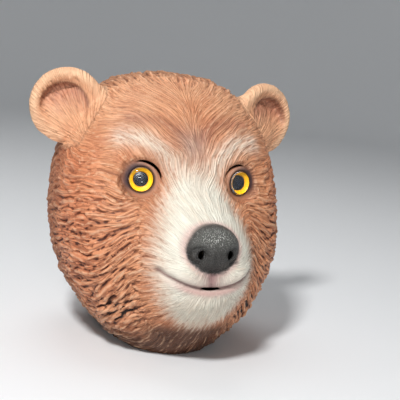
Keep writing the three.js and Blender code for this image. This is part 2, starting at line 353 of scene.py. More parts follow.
def join(target, others):
    with bpy.context.temp_override(active_object=target, selected_editable_objects=[target, *others]):
        bpy.ops.object.join()
    return target


skin = join(head, [*lobes, nose])
skin.name = "head_skin_latex"
weld = skin.modifiers.new("weld", "REMESH")
weld.mode = "VOXEL"
weld.voxel_size = VOXEL * MM
settle(skin)
print("welded skin:", len(skin.data.vertices), "points")


# %% Points of a mesh and their neighbours
def read(data, field, width):
    """A row of numbers for each item, such as a point's place or an attribute's value."""
    flat = np.empty(width * len(data), np.float32)
    data.foreach_get(field, flat)
    return flat.reshape(-1, width).astype(float)


def points_of(mesh):
    return read(mesh.vertices, "co", 3) / MM


def normals_of(mesh):
    return read(mesh.vertex_normals, "vector", 3)


def set_points(mesh, points):
    mesh.vertices.foreach_set("co", (points * MM).astype(np.float32).ravel())
    mesh.update()


class Neighbours:
    """Averages a value over the points that share an edge."""

    def __init__(self, mesh):
        flat = np.empty(2 * len(mesh.edges), np.int32)
        mesh.edges.foreach_get("vertices", flat)
        self.a, self.b = flat.reshape(-1, 2).T
        self.count = len(mesh.vertices)
        degree = np.bincount(self.a, minlength=self.count) + np.bincount(self.b, minlength=self.count)
        self.degree = np.maximum(degree, 1)

    def mean(self, value):
        if value.ndim > 1:
            return np.stack([self.mean(column) for column in value.T], 1)
        total = np.bincount(self.a, value[self.b], self.count) + np.bincount(self.b, value[self.a], self.count)
        return total / self.degree

    def smooth(self, value, rounds, strength=0.5):
        for _ in range(rounds):
            value = value + strength * (self.mean(value) - value)
        return value


near = Neighbours(skin.data)
print("edges between neighbours:", len(near.a))

# %% Smooth the joins
points = near.smooth(points_of(skin.data), 4)
root = np.zeros(len(points))
for _, _, u, w, h in at_ears(points):
    far = np.sqrt(((u + 34) / 34) ** 2 + (w / 52) ** 2 + ((h + 4) / 34) ** 2)
    root = np.maximum(root, ease(1.3, 0.8, far))
nose_edge = np.linalg.norm((points - NOSE["centre"]) / (NOSE["half"][[0, 2, 1]] + 2), axis=1)
root = np.maximum(root, 0.5 * ease(0.25, 0.08, np.abs(nose_edge - 1.0)) * (points[:, 1] > -84))
points = near.smooth(points, 26, 0.55 * root[:, None])
set_points(skin.data, points)
print("smoothed joins over", int((root > 0.1).sum()), "points")

# %% [markdown]
# ## Modelled features
# Eyelids, lips, philtrum and nostrils are small forms on the skin. They could be separate solids, but in
# cast latex they flow out of it, so each is a soft push in or out along the skin's own direction, written
# as a short formula with a place and a size.

# %% Places round the eyes and the mouth
EYE = dict(x=60.5, y=-1, z=0, splay=13.7)
EYE_REACH = 26
EYE_SIN, EYE_COS = math.sin(math.radians(EYE["splay"])), math.cos(math.radians(EYE["splay"]))
MOUTH = dict(corner_x=54, corner_z=-92, middle_z=-109)
MOUTH_RISE = MOUTH["corner_z"] - MOUTH["middle_z"]


def bell(value, width):
    return np.exp(-(value / width) ** 2)


def in_eye(points):
    """Distance from the nearer eye's axis, angle from its inner side over the top, and depth along it."""
    x, y, z = np.abs(points[:, 0]) - EYE["x"], points[:, 1] - EYE["y"], points[:, 2] - EYE["z"]
    across = x * EYE_COS + y * EYE_SIN
    depth = x * EYE_SIN - y * EYE_COS
    return np.hypot(across, z), np.degrees(np.arctan2(z, -across)), depth


def mouth_gap(points):
    """How far a point of the front lies above the mouth line, and how much of the line is there."""
    x, y, z = np.abs(points[:, 0]), points[:, 1], points[:, 2]
    line = MOUTH["middle_z"] + MOUTH_RISE * np.clip(x / MOUTH["corner_x"], 0, 1) ** 2
    slope = 2 * MOUTH_RISE * x / MOUTH["corner_x"] ** 2
    return (z - line) / np.sqrt(1 + slope ** 2), ease(58, 50, x) * ease(-40, -50, y)


def mouth_corner(points, width):
    x, y, z = np.abs(points[:, 0]), points[:, 1], points[:, 2]
    return bell(np.hypot(x - MOUTH["corner_x"], z - MOUTH["corner_z"] - 1), width) * ease(-44, -54, y)


eye_far, eye_turn, eye_depth = in_eye(points)
at_eye = np.abs(eye_depth) < EYE_REACH
lip, on_mouth = mouth_gap(points)
round_eyes, by_mouth = at_eye & (eye_far < 20), on_mouth > 0.5
print("points round the eyes:", int(round_eyes.sum()), "by the mouth:", int(by_mouth.sum()))

# %% Eyes, lips and philtrum pushed into the skin
inner_side = ease(90, 30, np.abs(eye_turn))
flat_ring = at_eye * ease(26 - 3 * inner_side, 17 - inner_side, eye_far) * (0.3 - eye_depth)
points[:, 0] += flat_ring * np.sign(points[:, 0]) * EYE_SIN
points[:, 1] -= flat_ring * EYE_COS
set_points(skin.data, points)
x, y, z = points.T
side_x = np.abs(x)
out = normals_of(skin.data)
eye_far, eye_turn, eye_depth = in_eye(points)
upper = ease(-60, 20, eye_turn) * ease(190, 120, eye_turn)
push = at_eye * (0.5 * bell(eye_far - 17.2, 1.6) - 1.2 * bell(eye_far - 21, 2.4))
push += at_eye * upper * 1.8 * bell(eye_far - 26, 3.4)
push += at_eye * ease(-20, -90, eye_turn) * bell(eye_far - 27, 4.0)
middle = ease(58, 26, side_x)
upper_lip, lower_lip = (1.2 + 0.8 * middle) * bell(lip - 6.5, 4.4), 1.5 * middle * bell(lip + 7.0, 4.0)
push += on_mouth * (-2.4 * bell(lip, 2.4) + upper_lip + lower_lip)
push -= 0.5 * mouth_corner(points, 3.6)
front = ease(-66, -74, y)
push -= 1.5 * bell(x, 3.4) * (ease(-84, -92, z) * ease(-109, -104, z)) * front
push -= 1.5 * bell(x, 3.0) * (ease(-60, -74, z) * ease(-92, -84, z)) * front
print("pushed", int((np.abs(push) > 0.2).sum()), "points for lids, lips and philtrum")

# %% Nostrils
NOSTRIL = dict(x=17.5, z=-71, half_height=7.5, depth=5.0, crease=9.5)


def nostril_forms(points, half_width, crease_width):
    """Shares of the hole and of the curved crease on its outer side."""
    nx, nz = np.abs(points[:, 0]) - NOSTRIL["x"], points[:, 2] - NOSTRIL["z"]
    hole = bell(np.hypot((nx + 0.5) / half_width, nz / NOSTRIL["half_height"]), 1.0)
    crease = bell(np.hypot(nx - 1.5, nz + 1) - NOSTRIL["crease"], crease_width) * ease(-3, 4, nx)
    return hole, crease


hole, crease = nostril_forms(points, 6.0, 2.0)
nx, nz = side_x - NOSTRIL["x"], z - NOSTRIL["z"]
wing = bell(np.hypot((nx - 6) / 1.1, nz + 1), 3.6) + 0.6 * bell(np.hypot((nx - 1) / 1.6, nz - 12), 3.6)
push += front * (1.9 * wing - NOSTRIL["depth"] * hole - 2.0 * crease)
for wrinkle, depth in ((9.0, 0.8), (14.0, 0.4)):
    push -= front * depth * bell(side_x - wrinkle, 1.7) * bell(z + 84, 9)
points = points + out * push[:, None]
points = near.smooth(points, 1, 0.3)
set_points(skin.data, points)
print("nostrils at x", NOSTRIL["x"], "z", NOSTRIL["z"])

# %% [markdown]
# ## Which way the fur lies
# Cast fur has a direction at every place: it leaves the nose, runs up the bridge, parts on the forehead and
# sweeps back over the cheeks. Each strand is given a turn round the nose's axis, with a slow sway, and the
# fur lies the way in which this turn doesn't change. Behind the ears it bends down, and on the ears it fans
# out from their roots. The direction, and sizes for each kind of lock, are kept for every point of the skin,
# as combing guides would be.

# %% Turn of the strands
SOURCE, PARTING = -66, 0.055


def fur_zones(points):
    """Shares of the muzzle and of the crown in front."""
    x, y, z = points.T
    return ease(-14, -34, y) * ease(76, 56, np.abs(x)), ease(28, 60, z) * ease(90, 40, y)


def sway(points, wave):
    """A slow wander to either side, about one at most."""
    x, y, z = points.T / wave
    wander = np.sin(x + 1.6 * np.sin(0.6 * z + 1)) * np.sin(0.8 * z + 1.4 * np.sin(0.7 * y + 0.4 * x))
    return 0.6 * wander + 0.5 * np.sin(y + 1.7 * np.sin(0.65 * x) + 0.5 * z)


def strand_field(points):
    """Turn of a strand round the nose's axis, and how far along it a point lies."""
    x, y, z = points.T
    side_x = np.abs(x)
    level = -20 + 22 * ease(-50, 50, z) + 22 * ease(30, 90, side_x) * ease(0, 100, z)
    source_z = SOURCE + (level - SOURCE) * ease(14, 70, side_x)
    muzzle, crown = fur_zones(points)
    calm = 1 - 0.6 * muzzle - 0.1 * crown
    over = np.clip(z - 24, 0, 90)
    spread = np.exp(PARTING * np.where(over < 20, over ** 2 / 40, over - 10))
    up = (z - source_z) * spread
    steeper = PARTING * np.abs(up) * np.clip(over / 20, 0, 1)
    reach = (x ** 2 + up ** 2) / np.hypot(up, side_x * (spread + steeper))
    wander = calm * (5.0 * sway(points, 17) + 1.0 * sway(points[:, [1, 2, 0]], 6.5))
    turn = np.arctan2(up, x) + wander / np.maximum(reach, 16)
    return turn, np.sqrt(x ** 2 + (z - source_z) ** 2 + (y - SOURCE) ** 2)


def turn_change(points):
    """How a strand's turn changes in space, for each millimetre."""
    change = np.zeros_like(points)
    for k in range(3):
        step = np.zeros(3)
        step[k] = 0.5
        change[:, k] = np.sin(strand_field(points + step)[0] - strand_field(points - step)[0])
    return change


turns = np.degrees(strand_field(points)[0])
print("strands turn from", turns.min().round(), "to", turns.max().round(), "degrees")

# %% Direction of the fur
EAR_SPOKES = dict(u=46, w=26)


def unit(vectors):
    return vectors / (np.linalg.norm(vectors, axis=1, keepdims=True) + 1e-9)


def mixed(one, two, share):
    return one * (1 - share[:, None]) + two * share[:, None]


out = normals_of(skin.data)
x, y, z = points.T
side_x = np.abs(x)
flow = np.cross(out, turn_change(points))
flow = unit(flow * np.sign(np.sum(flow * (points - np.array([0, SOURCE, 0])), 1, keepdims=True)))
flow = mixed(flow, np.array([0, 0.15, -1.0]), ease(50, 200, y))
ear_rim = np.zeros(len(points))
ear_dish = np.zeros(len(points))
for at, side, u, w, h in at_ears(points):
    radius = np.hypot(u, w)
    here = (radius < 54) * ease(-16, -8, h)
    ear_rim = np.maximum(ear_rim, here * ease(29, 35, radius) * ease(150, 70, degrees_from(30, u, w)))
    ear_dish = np.maximum(ear_dish, here * ease(36, 28, radius) * ease(-34, -10, u))
    bend, su, sw = 0.5 * sway(points, 7), u + EAR_SPOKES["u"], w + EAR_SPOKES["w"]
    spoke = unit((su - bend * sw)[:, None] * at[:, 0] + side * (sw + bend * su)[:, None] * at[:, 1])
    flow = mixed(flow, spoke, here * ease(54, 40, radius) * ease(-42, -16, u))
flow = unit(flow - out * np.sum(flow * out, 1, keepdims=True))
print("fur turns down over", int((y > 125).sum()), "points")

# %% Zones and sizes of the locks
PITS = ((77, -5, -147), (25, 32, 16))
muzzle, crown = fur_zones(points)
eye_far, eye_turn, eye_depth = in_eye(points)
lip, on_mouth = mouth_gap(points)
bare = np.maximum.reduce([
    ease(1.06, 0.98, from_nose(points)) * ease(-62, -68, y),
    ease(24, 18, eye_far) * (np.abs(eye_depth) < EYE_REACH),
    on_mouth * bell(lip + 2, 5.5),
    0.5 * ear_rim,
    0.2 * ear_dish,
])
furry = 1 - bare
low = ease(-90, -140, z) * ease(-60, -34, y) * ease(20, 50, side_x)
cheek = ease(46, 74, side_x) * ease(44, 0, z)
ear = np.maximum(ear_rim, ear_dish)
bold = np.clip(np.maximum(cheek, ease(30, 90, y)), 0, 1) * (1 - ear) * (1 - muzzle)
front_cheek = cheek * ease(6, -24, z) * ease(120, 70, y) * (1 - muzzle)
pitted = blob(points, *PITS)
LOCKS = {
    # width, length and height of a lock at every point, and how far apart the roots are
    "gashes": (5.0 + 2.5 * low, 30 - 10 * low,
               furry * np.maximum(front_cheek, low) * (1 + 0.6 * pitted), 2.1),
    "clumps": (7.5 + 3.5 * bold + 1.5 * low, 34 + 22 * bold - 8 * crown - 14 * pitted,
               furry * (0.5 + 2.2 * bold + 1.0 * low - 0.4 * muzzle + 1.2 * pitted), 1.0),
    "strands": (2.8 + 0.6 * bold + 0.8 * low - 0.2 * crown, 25 + 16 * bold - 6 * low - 8 * crown,
                furry * (0.95 + 0.5 * bold + 0.4 * low - 0.35 * muzzle - 0.2 * crown), 1.0),
}


def store(mesh, name, value, kind="FLOAT"):
    if name in mesh.attributes:
        mesh.attributes.remove(mesh.attributes[name])
    layer = mesh.attributes.new(name, kind, "POINT")
    field = {"FLOAT": "value", "FLOAT_VECTOR": "vector", "FLOAT_COLOR": "color"}[kind]
    layer.data.foreach_set(field, np.ascontiguousarray(value, np.float32).ravel())


store(skin.data, "flow", flow, "FLOAT_VECTOR")
store(skin.data, "rise", np.zeros(len(points)))
for name, (width, _, height, _) in LOCKS.items():
    print(name, "up to", width.max().round(1), "mm wide and", height.max().round(1), "high")


# %% Roots of the locks
def lay_roots(points, flow, wanted, across, along, seed):
    """Places roots in random order. Each keeps an oval round it free, long in the fur's direction."""
    cell = along.max()
    key = np.floor((points - points.min(0)) / cell).astype(int) + 1
    size = key.max(0) + 2
    code = (key[:, 0] * size[1] + key[:, 1]) * size[2] + key[:, 2]
    order = np.argsort(code, kind="stable")
    starts = np.searchsorted(code[order], np.arange(size.prod() + 1))
    steps = [(i * size[1] + j) * size[2] + k for i in (-1, 0, 1) for j in (-1, 0, 1) for k in (-1, 0, 1)]
    free = wanted.copy()
    roots = []
    for i in np.random.default_rng(seed).permutation(len(points)):
        if free[i]:
            roots.append(i)
            around = np.concatenate([order[starts[code[i] + s]:starts[code[i] + s + 1]] for s in steps])
            apart = points[around] - points[i]
            forth = apart @ flow[i]
            aside = np.sum(apart ** 2, 1) - forth ** 2
            free[around[(forth / along[i]) ** 2 + aside / across[i] ** 2 < 1]] = False
    return np.array(roots)


def root_piece(name, seed):
    width, length, height, spacing = LOCKS[name]
    across, along = 0.8 * spacing * width, 0.72 * spacing ** 0.5 * length
    chosen = lay_roots(points, flow, height > 0.05, across, along, seed)
    piece = mesh_piece(name + "_roots", points[chosen], [])
    dice = np.random.default_rng(seed + 1)
    rx, ry, rz = points[chosen].T
    phase = 2.4 * np.sin(rx / 19 + rz / 31) + 2.4 * np.sin(rz / 17 - ry / 23)
    for label, value in {
        "width": width[chosen] * MM * dice.uniform(0.85, 1.15, len(chosen)),
        "length": length[chosen] * MM * dice.uniform(0.65, 1.45, len(chosen)),
        "size": dice.uniform(0.35, 1.0, len(chosen)),
        "phase": phase + dice.uniform(-0.7, 0.7, len(chosen)),
        "name": dice.uniform(0, 1, len(chosen)),
    }.items():
        store(piece.data, label, value)
    print(name, "roots:", len(chosen))
    return piece


root_pieces = {name: root_piece(name, seed) for name, seed in (("gashes", 5), ("clumps", 11), ("strands", 37))}

# %% [markdown]
# ## Cast locks
# A lock is a tapered ridge that starts in the skin, rises along its length and ends in a tip over the roots
# of the next one. Modelling thousands by hand would take weeks. Here a Geometry Nodes tree walks every root
# along the fur's direction in small steps, with a wave of its own, and then lifts each point of the skin by
# how near it lies to a lock. It runs three times: sunken gashes on the cheeks first, then broad clumps, then
# slender strands. It also notes where in its lock a point lies, so that the finish can draw fine strands.

# %% Helpers for nodes
def socket_named(sockets, name):
    return next(s for s in sockets if s.name == name and s.enabled)


def feed(tree, socket, value):
    if isinstance(value, bpy.types.NodeSocket):
        tree.links.new(value, socket)
    else:
        socket.default_value = value


def add(tree, kind, feeds=None, **settings):
    node = tree.nodes.new(kind)
    for key, value in settings.items():
        setattr(node, key, value)
    for name, value in (feeds or {}).items():
        feed(tree, node.inputs[name] if isinstance(name, int) else socket_named(node.inputs, name), value)
    return node


def calc(tree, operation, *values):
    return add(tree, "ShaderNodeMath", dict(enumerate(values)), operation=operation).outputs[0]


def times(tree, *values):
    return calc(tree, "MULTIPLY", *values)


def vector(tree, operation, *values):
    node = add(tree, "ShaderNodeVectorMath", operation=operation)
    for socket, value in zip([s for s in node.inputs if s.enabled], values):
        feed(tree, socket, value)
    return next(s for s in node.outputs if s.enabled)


print("helpers for nodes:", [f.__name__ for f in (feed, add, calc, times, vector)])


# %% Helpers for Geometry Nodes trees
def named(tree, name, kind="FLOAT"):
    return add(tree, "GeometryNodeInputNamedAttribute", {"Name": name}, data_type=kind).outputs[0]


def from_object(tree, source):
    return socket_named(add(tree, "GeometryNodeObjectInfo", {"Object": source}).outputs, "Geometry")


def on_surface(tree, mesh, value, kind):
    feeds = {"Mesh": mesh, "Value": value}
    return socket_named(add(tree, "GeometryNodeSampleNearestSurface", feeds, data_type=kind).outputs, "Value")


def keep(tree, geometry, name, value, kind="FLOAT"):
    feeds = {"Geometry": geometry, "Name": name, "Value": value}
    return add(tree, "GeometryNodeStoreNamedAttribute", feeds, data_type=kind).outputs[0]


def new_tree(name, inputs):
    tree = bpy.data.node_groups.new(name, "GeometryNodeTree")
    tree.interface.new_socket("Geometry", in_out="INPUT", socket_type="NodeSocketGeometry")
    tree.interface.new_socket("Geometry", in_out="OUTPUT", socket_type="NodeSocketGeometry")
    for label, kind in inputs:
        tree.interface.new_socket(label, in_out="INPUT", socket_type="NodeSocket" + kind)
    return tree, tree.nodes.new("NodeGroupInput").outputs


def end_tree(tree, geometry, material):
    whole = add(tree, "GeometryNodeRealizeInstances", {"Geometry": geometry}).outputs[0]
    done = add(tree, "GeometryNodeSetMaterial", {"Geometry": whole, "Material": material}).outputs[0]
    tree.links.new(done, tree.nodes.new("NodeGroupOutput").inputs["Geometry"])
    return tree


def run_tree(piece, tree, **values):
    modifier = piece.modifiers.new(tree.name, "NODES")
    modifier.node_group = tree
    for item in tree.interface.items_tree:
        if item.in_out == "INPUT" and item.name in values:
            modifier[item.identifier] = values[item.name]
    settle(piece)


print("helpers for trees:", [f.__name__ for f in (named, keep, new_tree, end_tree, run_tree)])

# %% Nodes that walk the roots along the fur
LOCK_STEPS = 22


def walked_roots(tree, skin_in, roots, wave):
    """The roots and every place that they step to, each with its share of the way and its heading."""
    here = add(tree, "GeometryNodeInputPosition").outputs[0]
    normal = add(tree, "GeometryNodeInputNormal").outputs[0]
    step = named(tree, "step")
    swing = times(tree, wave, calc(tree, "SINE", calc(tree, "MULTIPLY_ADD", step, 7.0, named(tree, "phase"))))
    heading = add(tree, "ShaderNodeVectorRotate", {
        "Vector": on_surface(tree, skin_in, named(tree, "flow", "FLOAT_VECTOR"), "FLOAT_VECTOR"),
        "Axis": on_surface(tree, skin_in, normal, "FLOAT_VECTOR"), "Angle": swing,
    }, rotation_type="AXIS_ANGLE").outputs[0]
    roots = keep(tree, keep(tree, roots, "step", 0.0), "heading", heading, "FLOAT_VECTOR")
    start = tree.nodes.new("GeometryNodeRepeatInput")
    end = tree.nodes.new("GeometryNodeRepeatOutput")
    start.pair_with_output(end)
    end.repeat_items.clear()
    for name in ("Tips", "Locks"):
        end.repeat_items.new("GEOMETRY", name)
        tree.links.new(roots, socket_named(start.inputs, name))
    socket_named(start.inputs, "Iterations").default_value = LOCK_STEPS
    pace = calc(tree, "DIVIDE", named(tree, "length"), float(LOCK_STEPS))
    on_skin = add(tree, "GeometryNodeProximity", {0: skin_in}, target_element="FACES")
    ahead = vector(tree, "ADD", here, vector(tree, "SCALE", heading, pace))
    tree.links.new(ahead, next(s for s in on_skin.inputs if s.type == "VECTOR"))
    tips = keep(tree, socket_named(start.outputs, "Tips"), "heading", heading, "FLOAT_VECTOR")
    moved = add(tree, "GeometryNodeSetPosition", {
        "Geometry": tips, "Position": on_skin.outputs["Position"]}).outputs[0]
    moved = keep(tree, moved, "step", calc(tree, "ADD", step, 1.0 / LOCK_STEPS))
    both = tree.nodes.new("GeometryNodeJoinGeometry")
    tree.links.new(socket_named(start.outputs, "Locks"), both.inputs[0])
    tree.links.new(moved, both.inputs[0])
    tree.links.new(moved, socket_named(end.inputs, "Tips"))
    tree.links.new(both.outputs[0], socket_named(end.inputs, "Locks"))
    return socket_named(end.outputs, "Locks")


print("steps for each lock:", LOCK_STEPS)


# %% Tree that lays the locks
def lay_locks_tree():
    tree, given = new_tree("lay_locks", [
        ("Roots", "Object"), ("Height", "Float"), ("Wave", "Float"), ("Reach", "Float"),
        ("Material", "Material")])
    skin_in = given["Geometry"]
    locks = walked_roots(tree, skin_in, from_object(tree, given["Roots"]), given["Wave"])
    nearest = add(tree, "GeometryNodeSampleNearest", {"Geometry": locks}, domain="POINT").outputs[0]

    def of_lock(value, kind="FLOAT"):
        feeds = {"Geometry": locks, "Value": value, "Index": nearest}
        node = add(tree, "GeometryNodeSampleIndex", feeds, data_type=kind, domain="POINT")
        return socket_named(node.outputs, "Value")

    here = add(tree, "GeometryNodeInputPosition").outputs[0]
    normal = add(tree, "GeometryNodeInputNormal").outputs[0]
    apart = vector(tree, "SUBTRACT", here, of_lock(here, "FLOAT_VECTOR"))
    heading = of_lock(named(tree, "heading", "FLOAT_VECTOR"), "FLOAT_VECTOR")
    aside = vector(tree, "DOT_PRODUCT", apart, vector(tree, "CROSS_PRODUCT", normal, heading))
    forth = vector(tree, "DOT_PRODUCT", apart, heading)
    length, width, along, size, label = (
        of_lock(named(tree, name)) for name in ("length", "width", "step", "size", "name"))
    within = calc(tree, "DIVIDE", length, 1.7 * LOCK_STEPS)
    past = calc(tree, "MAXIMUM", 0.0, calc(tree, "SUBTRACT", calc(tree, "ABSOLUTE", forth), within))
    gap = calc(tree, "SQRT", calc(tree, "ADD", calc(tree, "POWER", aside, 2.0), calc(tree, "POWER", past, 2.0)))
    taper = calc(tree, "MULTIPLY_ADD", calc(tree, "POWER", along, 2.5), -0.5, 1.0)
    reach = times(tree, times(tree, width, given["Reach"]), taper)
    across = calc(tree, "MINIMUM", calc(tree, "DIVIDE", gap, reach), 1.0)
    ridge = calc(tree, "POWER", calc(tree, "SUBTRACT", 1.0, calc(tree, "POWER", across, 1.6)), 0.8)
    climb = calc(tree, "MULTIPLY_ADD", calc(tree, "MINIMUM", times(tree, along, 2.4), 1.0), 0.7, 0.3)
    climb = times(tree, climb, calc(tree, "MULTIPLY_ADD", calc(tree, "POWER", along, 3.0), -0.6, 1.0))
    tall = times(tree, size, times(tree, named(tree, "height"), given["Height"]))
    lift = times(tree, times(tree, ridge, climb), tall)
    lane = add(tree, "ShaderNodeCombineXYZ", {
        "X": aside, "Y": calc(tree, "MULTIPLY_ADD", along, length, forth), "Z": label}).outputs[0]
    raised = keep(tree, skin_in, "rise", calc(tree, "ADD", named(tree, "rise"), lift))
    raised = keep(tree, raised, "lane", lane, "FLOAT_VECTOR")
    lifted = add(tree, "GeometryNodeSetPosition", {
        "Geometry": raised, "Offset": vector(tree, "SCALE", normal, lift)}).outputs[0]
    return end_tree(tree, lifted, given["Material"])


lay_locks = lay_locks_tree()
print("lock tree:", len(lay_locks.nodes), "nodes")


# %% Lay the locks
def value_of(mesh, name):
    return read(mesh.attributes[name].data, "value", 1)[:, 0]


latex = bpy.data.materials.new("latex_skin_painted")
gash = np.zeros(len(points))
for name, height, wave in (("gashes", -0.7, 0.35), ("clumps", 1.0, 0.3), ("strands", 1.0, 0.22)):
    store(skin.data, "height", LOCKS[name][2] * (1 - 0.85 * gash) * MM)
    run_tree(skin, lay_locks, Roots=root_pieces[name], Height=height, Wave=wave, Reach=0.6, Material=latex)
    remove(root_pieces[name])
    rise = value_of(skin.data, "rise") / MM
    if name == "gashes":
        gash = np.clip(rise / -0.5, 0, 1)
print("locks rise up to", rise.max().round(2), "mm, gashes cover", int((gash > 0.3).sum()), "points")


# %% Combed streaks over the locks
HASH, HASH_SIZE = np.array([73856093, 19349663, 83492791]), 65536


def speckle(places, cell, seed):
    """Smooth random value in space, one for each cell of a grid."""
    table = np.random.default_rng(seed).random(HASH_SIZE)
    at = places / cell
    low = np.floor(at).astype(np.int64)
    f = at - low
    f = f * f * (3 - 2 * f)
    value = np.zeros(len(places))
    for corner in np.ndindex(2, 2, 2):
        key = np.bitwise_xor.reduce((low + corner) * HASH, axis=1)
        share = np.prod(np.abs(1 - np.array(corner) - f), axis=1)
        value += share * table[(key ^ key >> 13) & (HASH_SIZE - 1)]
    return value


def streaks(places, directions, cell, half_length, steps, seed):
    """Speckle smeared along the fur's direction, as a comb would drag it. Its spread is one."""
    shifts = np.linspace(-half_length, half_length, steps)
    total = sum(speckle(places + s * directions, cell, seed) for s in shifts)
    return (total - total.mean()) / total.std()


coarse = streaks(points, flow, 4.6, 30, 25, 3)
slender = streaks(points, flow, 2.2, 17, 21, 8)
comb = furry * ((0.12 + 0.4 * bold + 0.25 * low) * coarse + (0.26 + 0.2 * bold - 0.08 * muzzle) * slender)
comb = np.maximum(comb, -1.2)
rise = rise + comb
set_points(skin.data, points_of(skin.data) + normals_of(skin.data) * comb[:, None])
print("streaks", comb.min().round(2), "to", comb.max().round(2), "mm")

# %% [markdown]
# ## Valleys and crests
# The painter's wash runs into the valleys between locks, and dry brushing catches their crests. Painted shade
# deepens the valleys and painted highlights brighten the crests as well. All of these follow the relief, so
# each point's height is compared with the mean height round it and kept as one number.

# %% Measure the relief
near = Neighbours(skin.data)
level = rise - near.smooth(rise, 26)
spread = np.sqrt(near.smooth(level ** 2, 40)) + 0.12
store(skin.data, "relief", np.clip(level / spread * 0.28 + 0.5, 0, 1))
print("relief spread", round(float(spread.mean()), 3), "mm")

# %% [markdown]
# ## A hollow shell
# The finished skin is a thin shell, open at the neck. The welded skin is first thinned to a sensible number
# of faces, a little more behind than in front. Collapsing edges keeps the crests. Then the lining, the eye
# sockets, the vision slits, the nostrils and the mouth are cut out of it as the knife and the mould's core do.

# %% Thin the skin
TRIANGLES, EXTRA_BEHIND = 186000, 2e-4


def triangles_of(mesh):
    return sum(len(p.vertices) - 2 for p in mesh.polygons)


dense = skin.copy()
dense.data = skin.data.copy()
dense.name = "dense_skin"
bpy.context.collection.objects.link(dense)
count = triangles_of(skin.data)
behind = skin.vertex_groups.new(name="behind")
back_share = np.round(1 + 9 * ease(60, 120, points_of(skin.data)[:, 1]))
for share in range(1, 11):
    behind.add(np.nonzero(back_share == share)[0].tolist(), share / 10, "REPLACE")
thin = skin.modifiers.new("thin", "DECIMATE")
thin.ratio = min(1.0, TRIANGLES / count)
thin.use_collapse_triangulate = True
thin.vertex_group = "behind"
thin.vertex_group_factor = EXTRA_BEHIND
settle(skin)
print("thinned from", count, "to", len(skin.data.polygons), "triangles")


# %% Cutters
EYE_RADIUS, FIT, MUZZLE_FRONT = 14.5, 0.3, -80
SLIT = dict(width=3.5, first=1, last=108, reach=18, steps=24)
SOCKET = [(0, 0.4), (16, 0.4), (17, -0.6), (17, -8.7), (0, -8.7)]


def outward(piece):
    """Turns a closed piece's faces outward if its volume comes out negative."""
    p = points_of(piece.data)
    piece.data.calc_loop_triangles()
    t = np.array([tri.vertices[:] for tri in piece.data.loop_triangles])
    if np.sum(p[t[:, 0]] * np.cross(p[t[:, 1]], p[t[:, 2]])) < 0:
        piece.data.flip_normals()
    return piece


def cut(cutter, operation="DIFFERENCE"):
    knife = skin.modifiers.new("cut", "BOOLEAN")
    knife.operation = operation
    knife.solver = "MANIFOLD"
    knife.object = outward(cutter)
    settle(skin)
    remove(cutter)


def rod(radius, front, back):
    return [(0, front), (radius, front), (radius, back), (0, back)]


def slit_cutter(at, side):
    """A curved lens over the eye, from its inner side, pointed at both ends."""
    steps = SLIT["steps"]
    s = np.linspace(-1, 1, steps)
    turn = np.radians(180 - (SLIT["first"] + (SLIT["last"] - SLIT["first"]) * (s + 1) / 2))
    radius = 22.4 - 2.2 * ease(-1, 0.4, s)
    half = 0.5 * SLIT["width"] * np.clip(1 - s ** 2, 0.01, 1) ** 0.7
    radius, turn = np.concatenate([radius + half, (radius - half)[::-1]]), np.concatenate([turn, turn[::-1]])
    rim = np.stack([radius * np.cos(turn), side * radius * np.sin(turn)], 1)
    n = len(rim)
    points = np.vstack([np.c_[rim, np.full(n, reach)] for reach in (SLIT["reach"], -SLIT["reach"])])
    faces = [(i, (i + 1) % n, n + (i + 1) % n, n + i) for i in range(n)]
    for i in range(steps - 1):
        quad = (i, i + 1, n - 2 - i, n - 1 - i)
        faces += [quad[::-1], tuple(n + k for k in quad)]
    return mesh_piece("slit", placed(points, at), faces)


def below_floor(half=300, depth=200):
    points = [(x, y, z) for x in (-half, half) for y in (-half, half) for z in (-depth, 0)]
    faces = [(0, 1, 3, 2), (4, 6, 7, 5), (0, 4, 5, 1), (2, 3, 7, 6), (0, 2, 6, 4), (1, 5, 7, 3)]
    return mesh_piece("box", points, faces)


print("slit", SLIT["width"], "mm wide, pocket", 2 * (EYE_RADIUS + FIT), "mm across")

# %% Cut the shell
cut(head_loft("lining", 40, 64, LINING_SWELLS, WALL))
cut(egg("nose_lining", NOSE["half"] - WALL - 5, (0, 0, 0), UPRIGHT, 32, 20, nose_shape))
for side in (-1, 1):
    at = face_frame(side=side, **EAR)
    cut(turned("ear_lining", EAR_CORE, 40, at))
    cut(egg("ear_root_lining", np.array(EAR_ROOT["half"]) - WALL, EAR_ROOT["centre"], at, 24, 16))
    at = face_frame(side=side, **EYE)
    cut(turned("socket", SOCKET, 64, at), "UNION")
    cut(turned("pocket", rod(EYE_RADIUS + FIT, 30, -6.5), 64, at))
    cut(slit_cutter(at, side))
    at = face_frame(side * NOSTRIL["x"], MUZZLE_FRONT, NOSTRIL["z"])
    comma = lambda p: np.stack([0.66 * p[:, 0] - side * 0.055 * p[:, 1] ** 2, p[:, 1], p[:, 2]], 1)
    cut(turned("nostril", rod(5.2, 20, -20), 24, at, comma))
bow = lambda p: np.stack([p[:, 0], 0.17 * p[:, 1] + 0.005 * p[:, 0] ** 2, p[:, 2]], 1)
cut(turned("mouth", rod(11, 20, -20), 48, face_frame(0, MUZZLE_FRONT, MOUTH["middle_z"]), bow))
print("shell:", len(skin.data.polygons), "faces")

# %% [markdown]
# ## Into the part's place
# Everything so far was measured from the eyes. The real head looks up a little, and its neck is trimmed
# level so that the mask stands. The nod is five degrees about the line through the eyes, and the eye solids
# of the frame tell how far the whole lies from its origin.

# %% Nod, place and trim
EYE_HEIGHT, NOD = 199, math.radians(5)
IRIS_SOLID = [(0, -5), (8.1, -5), (8.1, -3.4), (13.6, -0.6), (13.6, 0.9), (14.5, 0.9), (14.5, -6.2), (0, -6.2)]


